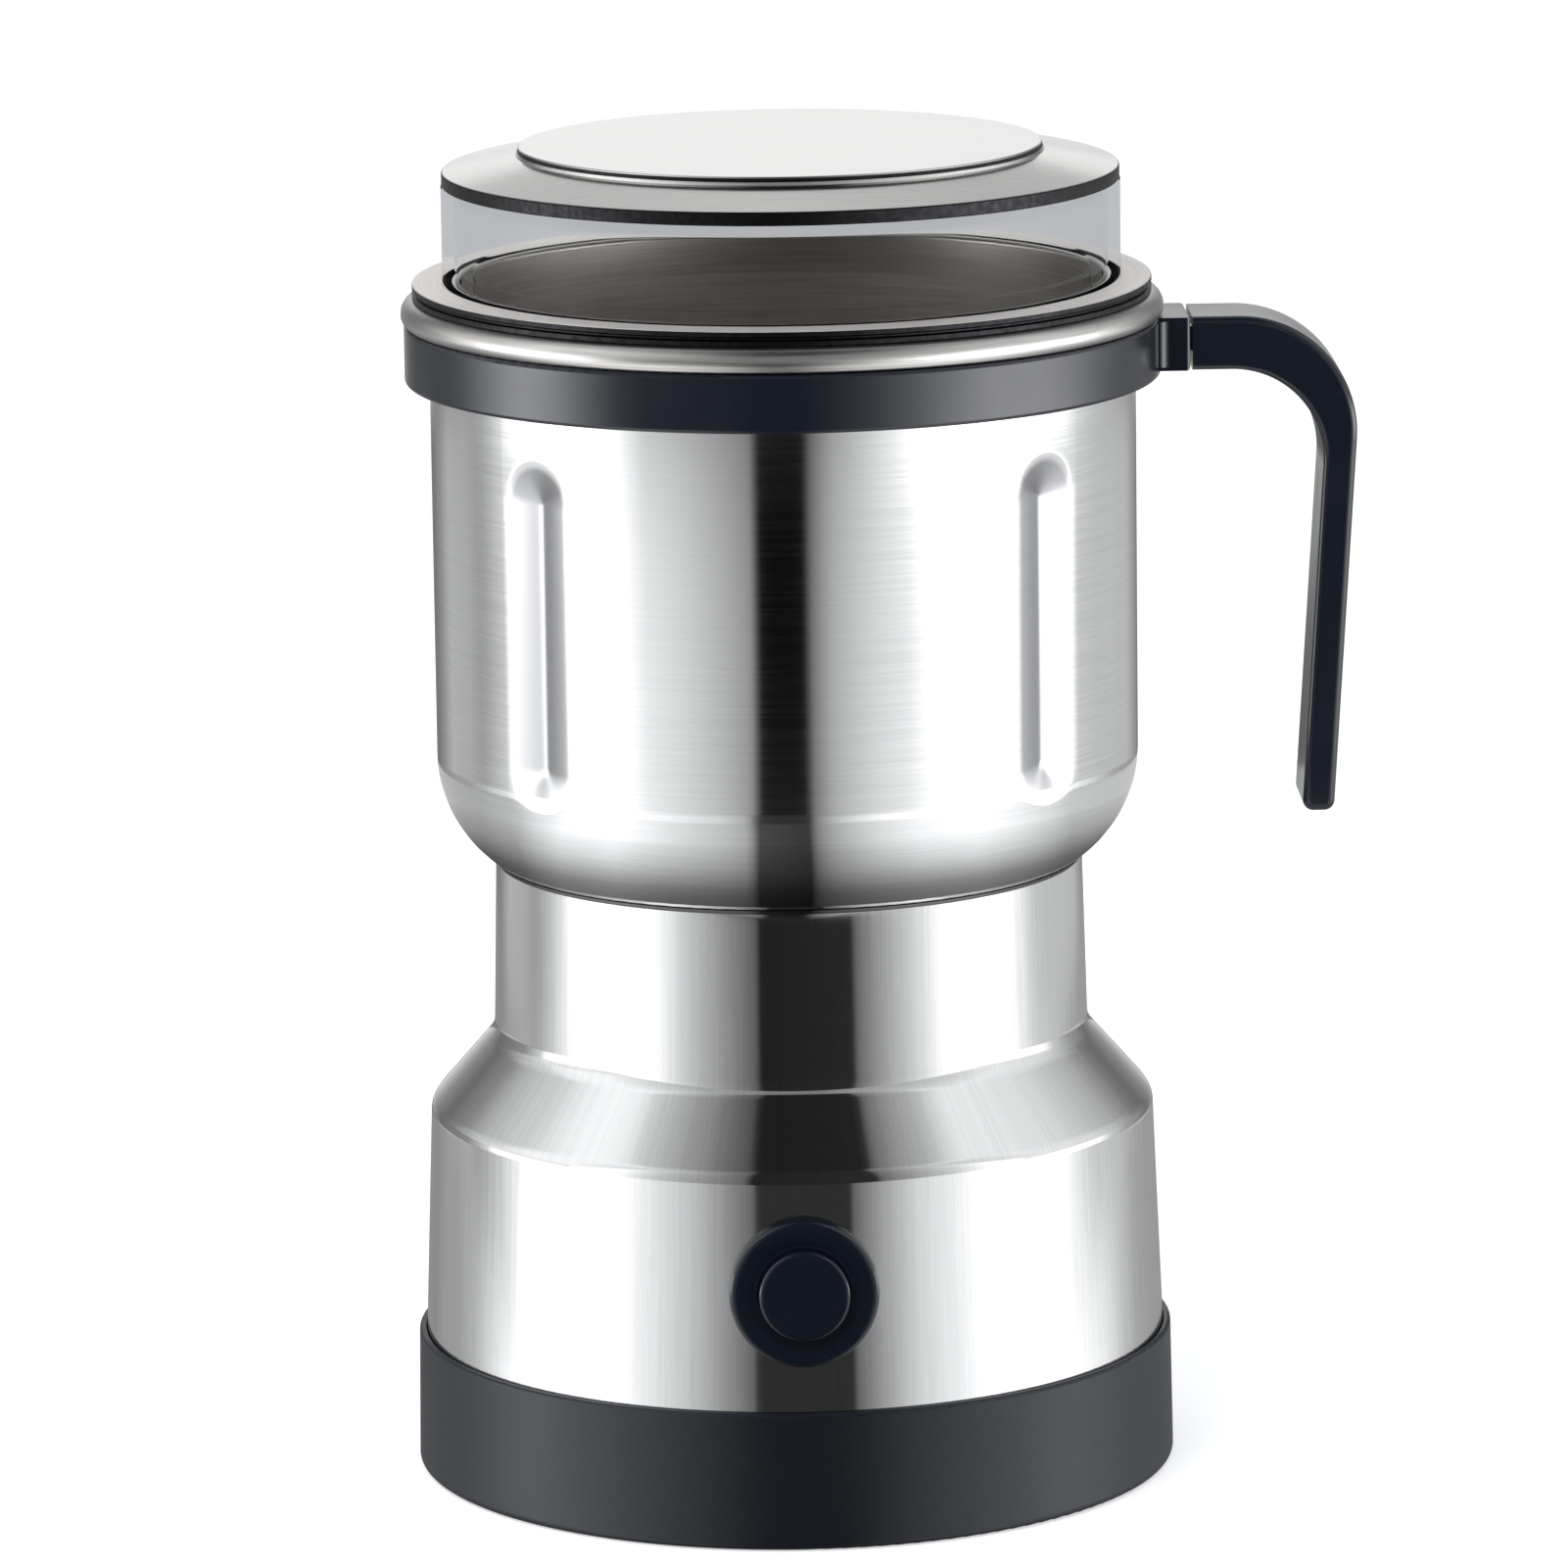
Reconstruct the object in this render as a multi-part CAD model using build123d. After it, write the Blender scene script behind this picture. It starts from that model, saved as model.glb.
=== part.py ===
from build123d import *
import math
import os

# ---------------------------------------------------------------------------
# Electric spice grinder.  Millimetres.  +Z up, the motor shaft on the Z axis,
# the origin where the shaft axis meets the table, the push button at -Y, the
# handle at +X and the cord entry at +Y.
# ---------------------------------------------------------------------------

# Clearances
fit_gap = 0.05          # between pieces that are pressed or screwed together
running_gap = 0.05      # radial, between the shaft and what it turns in
sliding_gap = 0.1       # radial, between the push button and its bezel
assembly_gap = 0.3      # between pieces that only stand beside each other

# Sheet metal
steel_wall = 0.7        # housing, cup sleeve and lid cap
bowl_wall = 0.8         # grinding bowl

# Motor, from the table upwards
floor_height = 2.6      # from the table to the underside of the base floor
floor_thickness = 1.8
fan_floor_gap = 3.1
fan_height = 8.0
fan_radius = 24.0
fan_hub_radius = 6.5
fan_disc_thickness = 1.6
fan_blade_thickness = 1.2
fan_blade_count = 9
fan_bush_gap = 2.0
fan_disc_margin = 1.0   # the blades end this far inside the disc's edge
blade_root_overlap = 0.5  # the blades' roots inside the hub
lower_bush_length = 7.0
bush_wall = 4.0
end_play = 0.1
washer_thickness = 1.0
washer_radius = 8.0
commutator_seat = 1.9   # shaft collar between the lower washer and the commutator
commutator_length = 13.0
commutator_radius = 10.0
commutator_bars = 12
commutator_slot = 0.5
commutator_slot_depth = 1.2
commutator_riser = 2.0  # unslotted height at the upper end
commutator_winding_gap = 1.5
winding_overhang = 4.0
winding_radius = 13.2
winding_edge = 0.5
core_length = 24.0
armature_radius = 15.1
armature_slots = 12
armature_slot_width = 3.0
armature_slot_mouth = 1.2
armature_tooth_tip = 1.3
armature_hub_radius = 7.8
upper_washer_gap = 0.5
upper_collar_inset = 1.0  # from the core's upper end to the shaft's collar
shaft_radius = 4.0
collar_step = 1.5       # how far the shaft collars stand out from the shaft

# Stator
air_gap = 0.5
pole_shoe = 2.7
field_coil_depth = 3.9
yoke_wall = 6.1
pole_width = 16.4
pole_half_angle = 58.0
coil_half_width = 15.5
coil_overhang = 4.8
coil_clearance = 0.2
motor_bolt_radius = 2.0
motor_bolt_margin = 4.0  # from the bolt's centre to the stator's edge
motor_bolt_head_radius = 3.6
motor_bolt_head_height = 2.6
motor_bolt_grip = 5.0   # thread length in the upper frame
pillar_radius = 4.2

# Lower motor bracket and brush gear
bracket_bar_thickness = 4.0
bracket_foot_thickness = 4.0
bracket_bar_width = 12.0
bracket_leg_thickness = 5.5
bush_boss_wall = 3.0
brush_side = 6.0
brush_length = 12.0
brush_holder_wall = 0.5
brush_holder_length = 18.0
brush_block_wall = 2.6
brush_height = 6.5      # above the commutator's lower end
brush_spring_radius = 2.2
brush_spring_wire = 0.3
brush_spring_turns = 5
brush_block_end = 1.6
brush_block_inset = 1.0  # the block starts this far behind the holder's inner end

# Upper motor frame
post_radius = 3.4
post_count = 4
post_stator_gap = 1.6
post_neck_gap = 1.1
frame_plate_thickness = 3.4
frame_plate_gap = 0.4
boss_height = 16.2      # lifts the bowl's floor above the sleeve's floor
boss_radius = 19.5
frame_edge = 0.5
post_bore_spare = 1.0   # hole length beyond the base screw's tip
frame_core_radius = 3.6  # moulded hollows in the boss, open below
upper_bush_length = 12.4
seal_height = 5.0
seal_radius = 7.5
seal_lip = 0.6          # thickness of the seal's lip at the shaft

# Cup: sleeve, bowl, collar
cup_radius = 46.2
cup_bottom_rounding = 18.0
groove_depth = 2.2
groove_half_width = 5.3
groove_count = 4
groove_first_angle = 45.0
groove_bottom_margin = 15.0  # from the sleeve's floor to the groove's lower end
groove_top_margin = 6.0     # from the collar to the groove's upper end
bowl_depth = 62.34
bowl_rounding = 12.0
flange_height = 2.04
flange_groove = 0.4
rim_height = 3.35
rim_overhang = 1.55
rim_lower_rounding = 1.2
rim_upper_rounding = 1.9
sleeve_bend = 0.6       # where the sleeve turns out over the collar
rim_lap = 1.5           # how far the rolled rim laps inwards under the flange
bowl_hole_gap = 1.0     # between the shaft and the hole in the bowl's floor
flange_lower_edge = 0.2
flange_upper_edge = 0.25
flange_groove_half = 0.1  # half width at the groove's bottom
flange_groove_slope = 0.2  # width of each sloping side of the groove
mouth_edge = 0.6
collar_height = 7.55
collar_inset = 0.4
collar_edge = 0.5
lug_blend = 1.2         # concave curve between the collar and the lug's sides
bowl_screw_circle = 13.5
bowl_screw_radius = 1.5
bowl_screw_head_radius = 2.8
bowl_screw_head_height = 1.8
bowl_screw_length = 12.0
bowl_screw_count = 4
bowl_screw_edge = 0.7

# Lid
lid_foot = 2.1          # how far the lid's wall stands outside the bowl's mouth
flange_margin = 4.0     # flange showing outside the lid
lid_wall = 1.8
lid_height = 12.7
lid_foot_thickness = 1.5
spigot_depth = 5.3
spigot_gap = 0.4
spigot_wall = 1.6
lid_roof = 1.6
cap_lip_height = 1.85
cap_lip_inset = 0.1
cap_cone_height = 2.0
cap_step_radius = 34.1
cap_step_height = 1.1
cap_edge_rounding = 0.9
cap_pad_gap = 0.2
cap_step_slope = 0.35   # how much wider the raised top is at its foot
cap_step_edge = 0.3
lid_inner_rounding = 0.8
lid_foot_rounding = 0.4
lid_foot_edge = 0.2
spigot_edge = 0.5
lid_lift = 60.0         # how far the lid is lifted clear

# Handle
handle_width = 13.2
arm_height = 7.0
lug_length = 3.55
joint_gap = 0.3
handle_reach = 26.4     # from the collar to where the arm's top and the grip's outer face would meet
grip_thickness = 4.2
grip_length = 58.9      # below the arm
grip_lean = 3.6         # degrees, inwards on the way down
outer_bend = 15.5
inner_bend = 12.0
handle_edge = 0.9
grip_end_rounding = 1.4
tongue_length = 9.0
tongue_height = 3.2
tongue_width = 8.8
tongue_rise = 2.3       # wall of the arm below the tongue
handle_screw_radius = 1.4
handle_screw_head_radius = 2.5
handle_screw_head_height = 1.1
handle_screw_inset = 0.2

# Steel housing
neck_taper = 0.6        # the neck is this much wider at its foot
shoulder_radius = 47.85
shoulder_height = 48.8  # above the table, where the wall meets the cone
neck_height = 58.6      # above the table, where the cone meets the neck
shoulder_rounding = 3.0
neck_rounding = 4.5
skirt_draft = 1.2       # the wall is this much wider at its foot
skirt_ledge_height = 13.8
neck_seat_gap = 0.3

# Base
lip_gap = 0.15
lip_wall = 0.85
base_height = 18.1
base_draft = 0.3
base_edge = 1.0
ledge_width = 2.15
rim_wall = 3.3
vent_count = 12
vent_width = 2.5
vent_inner_radius = 10.0
vent_outer_radius = 21.0
base_boss_height = 7.6
base_boss_radius = 5.0
base_screw_radius = 1.5
base_screw_head_radius = 3.0
base_screw_head_height = 2.0
base_screw_recess = 4.4
base_screw_grip = 10.0
base_screw_edge = 0.6
foot_radius = 5.5
foot_margin = 2.05      # from the foot's edge to the rim wall
foot_edge = 0.4
foot_count = 4
foot_stem_radius = 1.8

# Push button switch
switch_height = 34.0
bezel_radius = 9.65
bezel_proud = 2.2
bezel_edge = 0.9
bezel_dish = 0.5
bezel_dish_foot = 0.6   # flat of the dish round the button
bezel_rim_land = 0.4    # flat rim between the dish and the rounded edge
barrel_radius = 8.1
barrel_hole_gap = 0.2
button_radius = 5.95
button_proud = 1.3      # in front of the bezel's rim
button_edge = 0.8
button_travel = 2.5
button_flange_radius = 6.8
button_flange_thickness = 1.5
button_land = 4.6       # depth of the bezel's guide
button_stem_radius = 2.0
button_stem_spare = 0.4
barrel_depth = 12.4     # behind the bezel's rim
switch_nut_radius = 10.5
switch_nut_thickness = 3.0
switch_body_width = 13.0
switch_body_depth = 7.5
switch_body_edge = 1.0
terminal_width = 2.6
terminal_thickness = 0.8
terminal_length = 6.5
terminal_spacing = 7.0
switch_spring_radius = 4.6
switch_spring_wire = 0.6
switch_spring_turns = 4

# Cord gland
gland_height = 9.0      # cord centre above the table
gland_bore_radius = 3.1
gland_barrel_radius = 3.9
gland_flange_radius = 6.0
gland_flange_thickness = 2.6
gland_inner_flange = 1.8
gland_inner_radius = 4.5

# Capacitor
capacitor_width = 18.0
capacitor_depth = 8.0
capacitor_height = 12.0
capacitor_edge = 0.8
capacitor_angle = 162.0
capacitor_margin = 6.05  # from the capacitor's outer face to the ledge's inner edge

# Blades
spacer_radius = 7.0
lower_spacer_height = 3.5
upper_spacer_height = 5.5
spindle_radius = 3.0
blade_thickness = 1.6
blade_root_width = 14.0
blade_tip_width = 8.0
blade_flat = 11.0       # half length of the flat middle
blade_wing = 20.0
lower_blade_bend = 12.0  # degrees upwards
upper_blade_bend = 38.0
blade_washer_thickness = 1.0
blade_nut_radius = 5.6
blade_nut_height = 4.0
blade_nut_dome = 0.85   # dome radius as a share of the nut's
blade_washer_margin = 1.0  # the washer is this much wider than the nut
lower_blade_angle = 20.0
upper_blade_angle = 110.0
blade_edge_share = 0.2  # how far over the middle each wing's trailing corner reaches
spindle_end = 3.4       # thread inside the nut

# Screw heads, as shares of the head's radius
recess_length = 1.1
recess_width = 0.24
recess_depth = 0.35

# ---------------------------------------------------------------------------
# Heights, stacked from the table upwards
# ---------------------------------------------------------------------------
floor_top = floor_height + floor_thickness
fan_bottom = floor_top + fan_floor_gap
fan_top = fan_bottom + fan_height
lower_bush_bottom = fan_top + fan_bush_gap
lower_bush_top = lower_bush_bottom + lower_bush_length
lower_washer_bottom = lower_bush_top + end_play
lower_washer_top = lower_washer_bottom + washer_thickness
commutator_bottom = lower_washer_top + commutator_seat
commutator_top = commutator_bottom + commutator_length
winding_bottom = commutator_top + commutator_winding_gap
core_bottom = winding_bottom + winding_overhang
core_top = core_bottom + core_length
winding_top = core_top + winding_overhang
upper_washer_bottom = winding_top + upper_washer_gap
upper_washer_top = upper_washer_bottom + washer_thickness
frame_bottom = upper_washer_top + end_play
cup_bottom = frame_bottom + frame_plate_thickness
bowl_underside = cup_bottom + boss_height
bowl_floor = bowl_underside + bowl_wall
flange_top = bowl_floor + bowl_depth
flange_bottom = flange_top - flange_height
collar_top = flange_bottom - rim_height
collar_bottom = collar_top - collar_height
lid_top = flange_top + lid_height
cap_shoulder = lid_top + cap_lip_height
cap_cone_top = cap_shoulder + cap_cone_height
cap_top = cap_cone_top + cap_step_height
brush_z = commutator_bottom + brush_height

# ---------------------------------------------------------------------------
# Radii, worked outwards from the motor
# ---------------------------------------------------------------------------
stator_bore = armature_radius + air_gap
coil_inner = stator_bore + pole_shoe
coil_outer = coil_inner + field_coil_depth
stator_radius = coil_outer + yoke_wall
motor_bolt_circle = stator_radius - motor_bolt_margin
post_circle = stator_radius + post_stator_gap + post_radius
neck_top_radius = post_circle + post_radius + post_neck_gap + steel_wall
neck_foot_radius = neck_top_radius + neck_taper
frame_radius = neck_top_radius - steel_wall - frame_plate_gap
skirt_radius = shoulder_radius + skirt_draft
base_top_radius = skirt_radius + lip_gap + lip_wall
base_bottom_radius = base_top_radius + base_draft
ledge_radius = skirt_radius + lip_gap - ledge_width
rim_inner_radius = base_bottom_radius - rim_wall
foot_circle = rim_inner_radius - foot_margin - foot_radius
capacitor_circle = ledge_radius - capacitor_margin - capacitor_depth / 2
sleeve_inner = cup_radius - steel_wall
bowl_outer = sleeve_inner - groove_depth - assembly_gap
mouth_radius = bowl_outer - bowl_wall
lid_radius = mouth_radius + lid_foot
flange_radius = lid_radius + flange_margin
rim_radius = flange_radius + rim_overhang
collar_radius = rim_radius - collar_inset
lug_end = collar_radius + lug_length
bush_radius = shaft_radius + bush_wall

STANDING = (Align.CENTER, Align.CENTER, Align.MIN)


# ---------------------------------------------------------------------------
# Small helpers
# ---------------------------------------------------------------------------
def rod(radius, bottom, top):
    """A round bar on the shaft axis between two heights."""
    return Pos(0, 0, bottom) * Cylinder(radius, top - bottom, align=STANDING)


def ring(outer, inner, bottom, top):
    """A plain ring on the shaft axis between two heights."""
    return rod(outer, bottom, top) - rod(inner, bottom, top)


def block(x_low, x_high, y_low, y_high, z_low, z_high):
    """A box between two corners."""
    size = (x_high - x_low, y_high - y_low, z_high - z_low)
    return Pos(x_low, y_low, z_low) * Box(*size, align=(Align.MIN, Align.MIN, Align.MIN))


def turned(*corners):
    """Turn a closed outline of (radius, height, optional rounding) about the shaft axis."""
    points = [corner[:2] for corner in corners]
    rounding = [corner[2] if len(corner) > 2 else 0 for corner in corners]
    outline = FilletPolyline(*points, radius=rounding, close=True)
    return revolve(Plane.XZ * make_face(outline), Axis.Z)


def inside_path(path, wall):
    """The inner face of a pressed sheet, one wall to the left of its outer face."""
    points = [Vector(corner[0], corner[1]) for corner in path]
    rounding = [corner[2] if len(corner) > 2 else 0 for corner in path]
    runs = [(end - start).normalized() for start, end in zip(points, points[1:])]
    normals = [Vector(-run.Y, run.X) for run in runs]
    inner = []
    for index, point in enumerate(points):
        before = normals[max(index - 1, 0)]
        after = normals[min(index, len(normals) - 1)]
        shifted = point + (before + after) * (wall / (1 + before.dot(after)))
        left_turn = before.X * after.Y - before.Y * after.X > 0
        radius = rounding[index]
        if radius > 0:
            radius = max(radius - wall, 0) if left_turn else radius + wall
        inner.append((shifted.X, shifted.Y, radius))
    return inner


def pressed(path, wall):
    """A turned sheet: its outer face follows the path, its inner face lies one wall to the left."""
    return turned(*path, *reversed(inside_path(path, wall)))


def around(count, shape, first_angle=0.0):
    """Copies of a shape spaced evenly about the shaft axis, as separate pieces."""
    return [Rot(0, 0, first_angle + 360 * k / count) * shape for k in range(count)]


def coil_spring(radius, wire, turns, length):
    """A closed-wire compression spring that stands on the XY plane, along +Z."""
    rise = length - 2 * wire
    path = Helix(pitch=rise / turns, height=rise, radius=radius)
    section = Plane(origin=path @ 0, z_dir=path % 0) * Circle(wire)
    return Pos(0, 0, wire) * sweep(section, path=path)


def group(pieces):
    """Separate solids kept together under one name."""
    solids = [solid for piece in pieces for solid in piece.solids()]
    return Compound(children=solids)


def wall_radius(height):
    """Outer radius of the steel housing's lower wall at a height."""
    rise = (height - base_height) / (shoulder_height - base_height)
    return skirt_radius - skirt_draft * rise


# ---------------------------------------------------------------------------
# Base
# ---------------------------------------------------------------------------
def make_base_shell():
    """The black plastic base: wall, skirt ledge, floor with vents, screw bosses, gland hole."""
    shell = turned(
        (rim_inner_radius, 0),
        (base_bottom_radius, 0, base_edge),
        (base_top_radius, base_height, lip_wall / 2),
        (skirt_radius + lip_gap, base_height),
        (skirt_radius + lip_gap, skirt_ledge_height),
        (ledge_radius, skirt_ledge_height),
        (ledge_radius, floor_top),
        (0, floor_top),
        (0, floor_height),
        (rim_inner_radius, floor_height),
    )
    boss = Pos(post_circle, 0, 0) * rod(base_boss_radius, floor_height, floor_top + base_boss_height)
    recess = Pos(post_circle, 0, 0) * rod(
        base_screw_head_radius + assembly_gap, 0, floor_height + base_screw_recess)
    screw_hole = Pos(post_circle, 0, 0) * rod(
        base_screw_radius + assembly_gap, 0, floor_top + base_boss_height)
    slot_middle = (vent_inner_radius + vent_outer_radius) / 2
    slot = Pos(slot_middle, 0, floor_height) * extrude(
        SlotOverall(vent_outer_radius - vent_inner_radius, vent_width), floor_thickness)
    stem_hole = Pos(foot_circle, 0, 0) * rod(foot_stem_radius + fit_gap, 0, floor_top)
    cord_hole = Pos(0, base_bottom_radius, gland_height) * Rot(90, 0, 0) * Cylinder(
        gland_barrel_radius + fit_gap, 4 * rim_wall)
    shell += around(post_count, boss, 45)
    shell -= around(post_count, recess, 45)
    shell -= around(post_count, screw_hole, 45)
    shell -= around(vent_count, slot)
    shell -= around(foot_count, stem_hole)
    return shell - cord_hole


def make_rubber_feet():
    """Four round rubber feet, each with a stem pressed into the base floor."""
    foot = turned(
        (0, 0), (foot_radius, 0, foot_edge), (foot_radius, floor_height), (foot_stem_radius, floor_height),
        (foot_stem_radius, floor_top), (0, floor_top))
    return group(around(foot_count, Pos(foot_circle, 0, 0) * foot))


def make_base_screws():
    """Four pan-head screws that pull the base up against the motor frame's posts."""
    head_top = floor_height + base_screw_recess
    head_bottom = head_top - base_screw_head_height
    tip = floor_top + base_boss_height + base_screw_grip
    head = rod(base_screw_head_radius, head_bottom, head_top)
    head = fillet(head.edges().group_by(Axis.Z)[0], base_screw_edge)
    screw = head + rod(base_screw_radius, head_top, tip)
    screw -= cross_recess(base_screw_head_radius, head_bottom)
    return group(around(post_count, Pos(post_circle, 0, 0) * screw, 45))


def cross_recess(head_radius, face_height):
    """The cross cut in the face of a screw head at a height."""
    length = head_radius * recess_length
    width = head_radius * recess_width
    depth = head_radius * recess_depth
    bar = Box(length, width, 2 * depth) + Box(width, length, 2 * depth)
    return Pos(0, 0, face_height) * bar


def make_cord_gland():
    """The rubber gland in the back of the base: inner flange, barrel, outer flange and bore."""
    inner_wall = ledge_radius - assembly_gap - edge_sag(ledge_radius, gland_inner_radius)
    outer_wall = base_bottom_radius
    barrel = (inner_wall - gland_inner_flange, outer_wall + gland_flange_thickness)
    pieces = cord_rod(gland_barrel_radius, *barrel)
    pieces += cord_rod(gland_inner_radius, inner_wall - gland_inner_flange, inner_wall)
    flange = cord_rod(gland_flange_radius, outer_wall, outer_wall + gland_flange_thickness)
    pieces += fillet(flange.edges().group_by(Axis.Y)[-1], gland_flange_thickness / 2)
    return pieces - cord_rod(gland_bore_radius, barrel[0], barrel[1])


def cord_rod(radius, near, far):
    """A round bar along the cord's axis between two distances from the shaft axis."""
    return Pos(0, near, gland_height) * Rot(-90, 0, 0) * Cylinder(radius, far - near, align=STANDING)


def edge_sag(wall, half_width):
    """How far a round wall falls back at half_width to the side of its crown."""
    return wall - math.sqrt(wall**2 - half_width**2)


def make_suppression_capacitor():
    """The boxed capacitor that stands on the base floor."""
    body = block(
        capacitor_circle - capacitor_depth / 2, capacitor_circle + capacitor_depth / 2,
        -capacitor_width / 2, capacitor_width / 2, floor_top, floor_top + capacitor_height)
    body = fillet(body.edges().filter_by(Axis.Z), capacitor_edge)
    return Rot(0, 0, capacitor_angle) * body


# ---------------------------------------------------------------------------
# Housing
# ---------------------------------------------------------------------------
def cup_floor_height(radius):
    """Height of the cup sleeve's outside, within its rounded floor, at a radius."""
    across = radius - (cup_radius - cup_bottom_rounding)
    return cup_bottom + cup_bottom_rounding - math.sqrt(cup_bottom_rounding**2 - across**2)


def make_motor_housing():
    """The one-piece steel housing: neck, cone, rounded shoulder and lower wall."""
    neck_top = cup_floor_height(neck_top_radius - steel_wall) - neck_seat_gap
    shell = pressed([
        (skirt_radius, skirt_ledge_height),
        (skirt_radius, base_height),
        (shoulder_radius, shoulder_height, shoulder_rounding),
        (neck_foot_radius, neck_height, neck_rounding),
        (neck_top_radius, neck_top),
    ], steel_wall)
    front = skirt_radius + bezel_proud
    return shell - button_rod(barrel_radius + barrel_hole_gap, front, shoulder_radius / 2)


def make_upper_frame():
    """The plastic motor frame: plate, boss through the cup's floor, posts and bolt pillars."""
    boss_foot = turned(
        (0, frame_bottom), (frame_radius, frame_bottom, frame_edge), (frame_radius, cup_bottom),
        (boss_radius, cup_bottom), (boss_radius, bowl_underside), (0, bowl_underside))
    post = Pos(post_circle, 0, 0) * rod(post_radius, floor_top + base_boss_height, frame_bottom)
    post_bore = Pos(post_circle, 0, 0) * rod(
        base_screw_radius + fit_gap, floor_top + base_boss_height,
        floor_top + base_boss_height + base_screw_grip + post_bore_spare)
    pillar = Pos(motor_bolt_circle, 0, 0) * rod(pillar_radius, core_top, frame_bottom)
    pillar_bore = Pos(motor_bolt_circle, 0, 0) * rod(
        motor_bolt_radius + fit_gap, core_top, frame_bottom + motor_bolt_grip - frame_plate_thickness)
    bowl_bore = Pos(bowl_screw_circle, 0, 0) * rod(
        bowl_screw_radius + fit_gap, bowl_underside - bowl_screw_length, bowl_underside)
    core_hole = Pos(bowl_screw_circle, 0, 0) * rod(
        frame_core_radius, frame_bottom, bowl_underside - frame_plate_thickness)
    frame = boss_foot + around(post_count, post, 45) + around(2, pillar, 90)
    frame -= around(post_count, post_bore, 45)
    frame -= around(2, pillar_bore, 90)
    frame -= around(bowl_screw_count, bowl_bore, 45)
    frame -= around(bowl_screw_count, core_hole, 0)
    frame -= rod(bush_radius + fit_gap, frame_bottom, frame_bottom + upper_bush_length)
    frame -= rod(shaft_radius + assembly_gap, frame_bottom, bowl_underside)
    return frame - rod(seal_radius + fit_gap, bowl_underside - seal_height, bowl_underside)


def make_upper_bush():
    """The sintered bush in the frame's boss."""
    return ring(bush_radius, shaft_radius + running_gap, frame_bottom, frame_bottom + upper_bush_length)


def make_shaft_seal():
    """The rubber lip seal under the bowl's floor."""
    bottom = bowl_underside - seal_height
    seal = ring(seal_radius, shaft_radius + seal_lip, bottom, bowl_underside)
    return seal + ring(seal_radius, shaft_radius + running_gap, bottom, bottom + seal_lip)


# ---------------------------------------------------------------------------
# Motor
# ---------------------------------------------------------------------------
def make_stator_core():
    """The laminated two-pole stator: yoke, two poles with curved shoes, two bolt holes."""
    yoke = ring(stator_radius, coil_outer + coil_clearance, core_bottom, core_top)
    bars = block(-coil_outer - coil_clearance * 2, coil_outer + coil_clearance * 2,
                 -pole_width / 2, pole_width / 2, core_bottom, core_top)
    shoes = ring(coil_inner - coil_clearance, stator_bore, core_bottom, core_top)
    reach = stator_radius * math.tan(math.radians(pole_half_angle))
    wedge = Polyline((0, 0), (stator_radius, reach), (stator_radius, -reach), close=True)
    sector = Pos(0, 0, core_bottom) * extrude(make_face(wedge), core_length)
    poles = bars + (shoes & (sector + Rot(0, 0, 180) * sector))
    core = yoke + (poles - rod(stator_bore, core_bottom, core_top))
    bolt_hole = Pos(motor_bolt_circle, 0, 0) * rod(motor_bolt_radius + fit_gap, core_bottom, core_top)
    return core - around(2, bolt_hole, 90)


def make_field_coils():
    """Two curved copper coils, one round each pole of the stator."""
    bottom = core_bottom - coil_overhang
    top = core_top + coil_overhang
    band = ring(coil_outer, coil_inner, bottom, top)
    width = block(0, coil_outer, -coil_half_width, coil_half_width, bottom, top)
    window = block(
        0, coil_outer, -pole_width / 2 - coil_clearance, pole_width / 2 + coil_clearance,
        core_bottom - coil_clearance, core_top + coil_clearance)
    coil = (band & width) - window
    return group(around(2, coil))


def make_motor_bolts():
    """Two long bolts through the lower bracket and the stator into the upper frame."""
    bottom = core_bottom - bracket_foot_thickness
    tip = frame_bottom + motor_bolt_grip - frame_plate_thickness - assembly_gap
    bolt = rod(motor_bolt_radius, bottom, tip) + rod(
        motor_bolt_head_radius, bottom - motor_bolt_head_height, bottom)
    bolt -= cross_recess(motor_bolt_head_radius, bottom - motor_bolt_head_height)
    return group(around(2, Pos(motor_bolt_circle, 0, 0) * bolt, 90))


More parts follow.
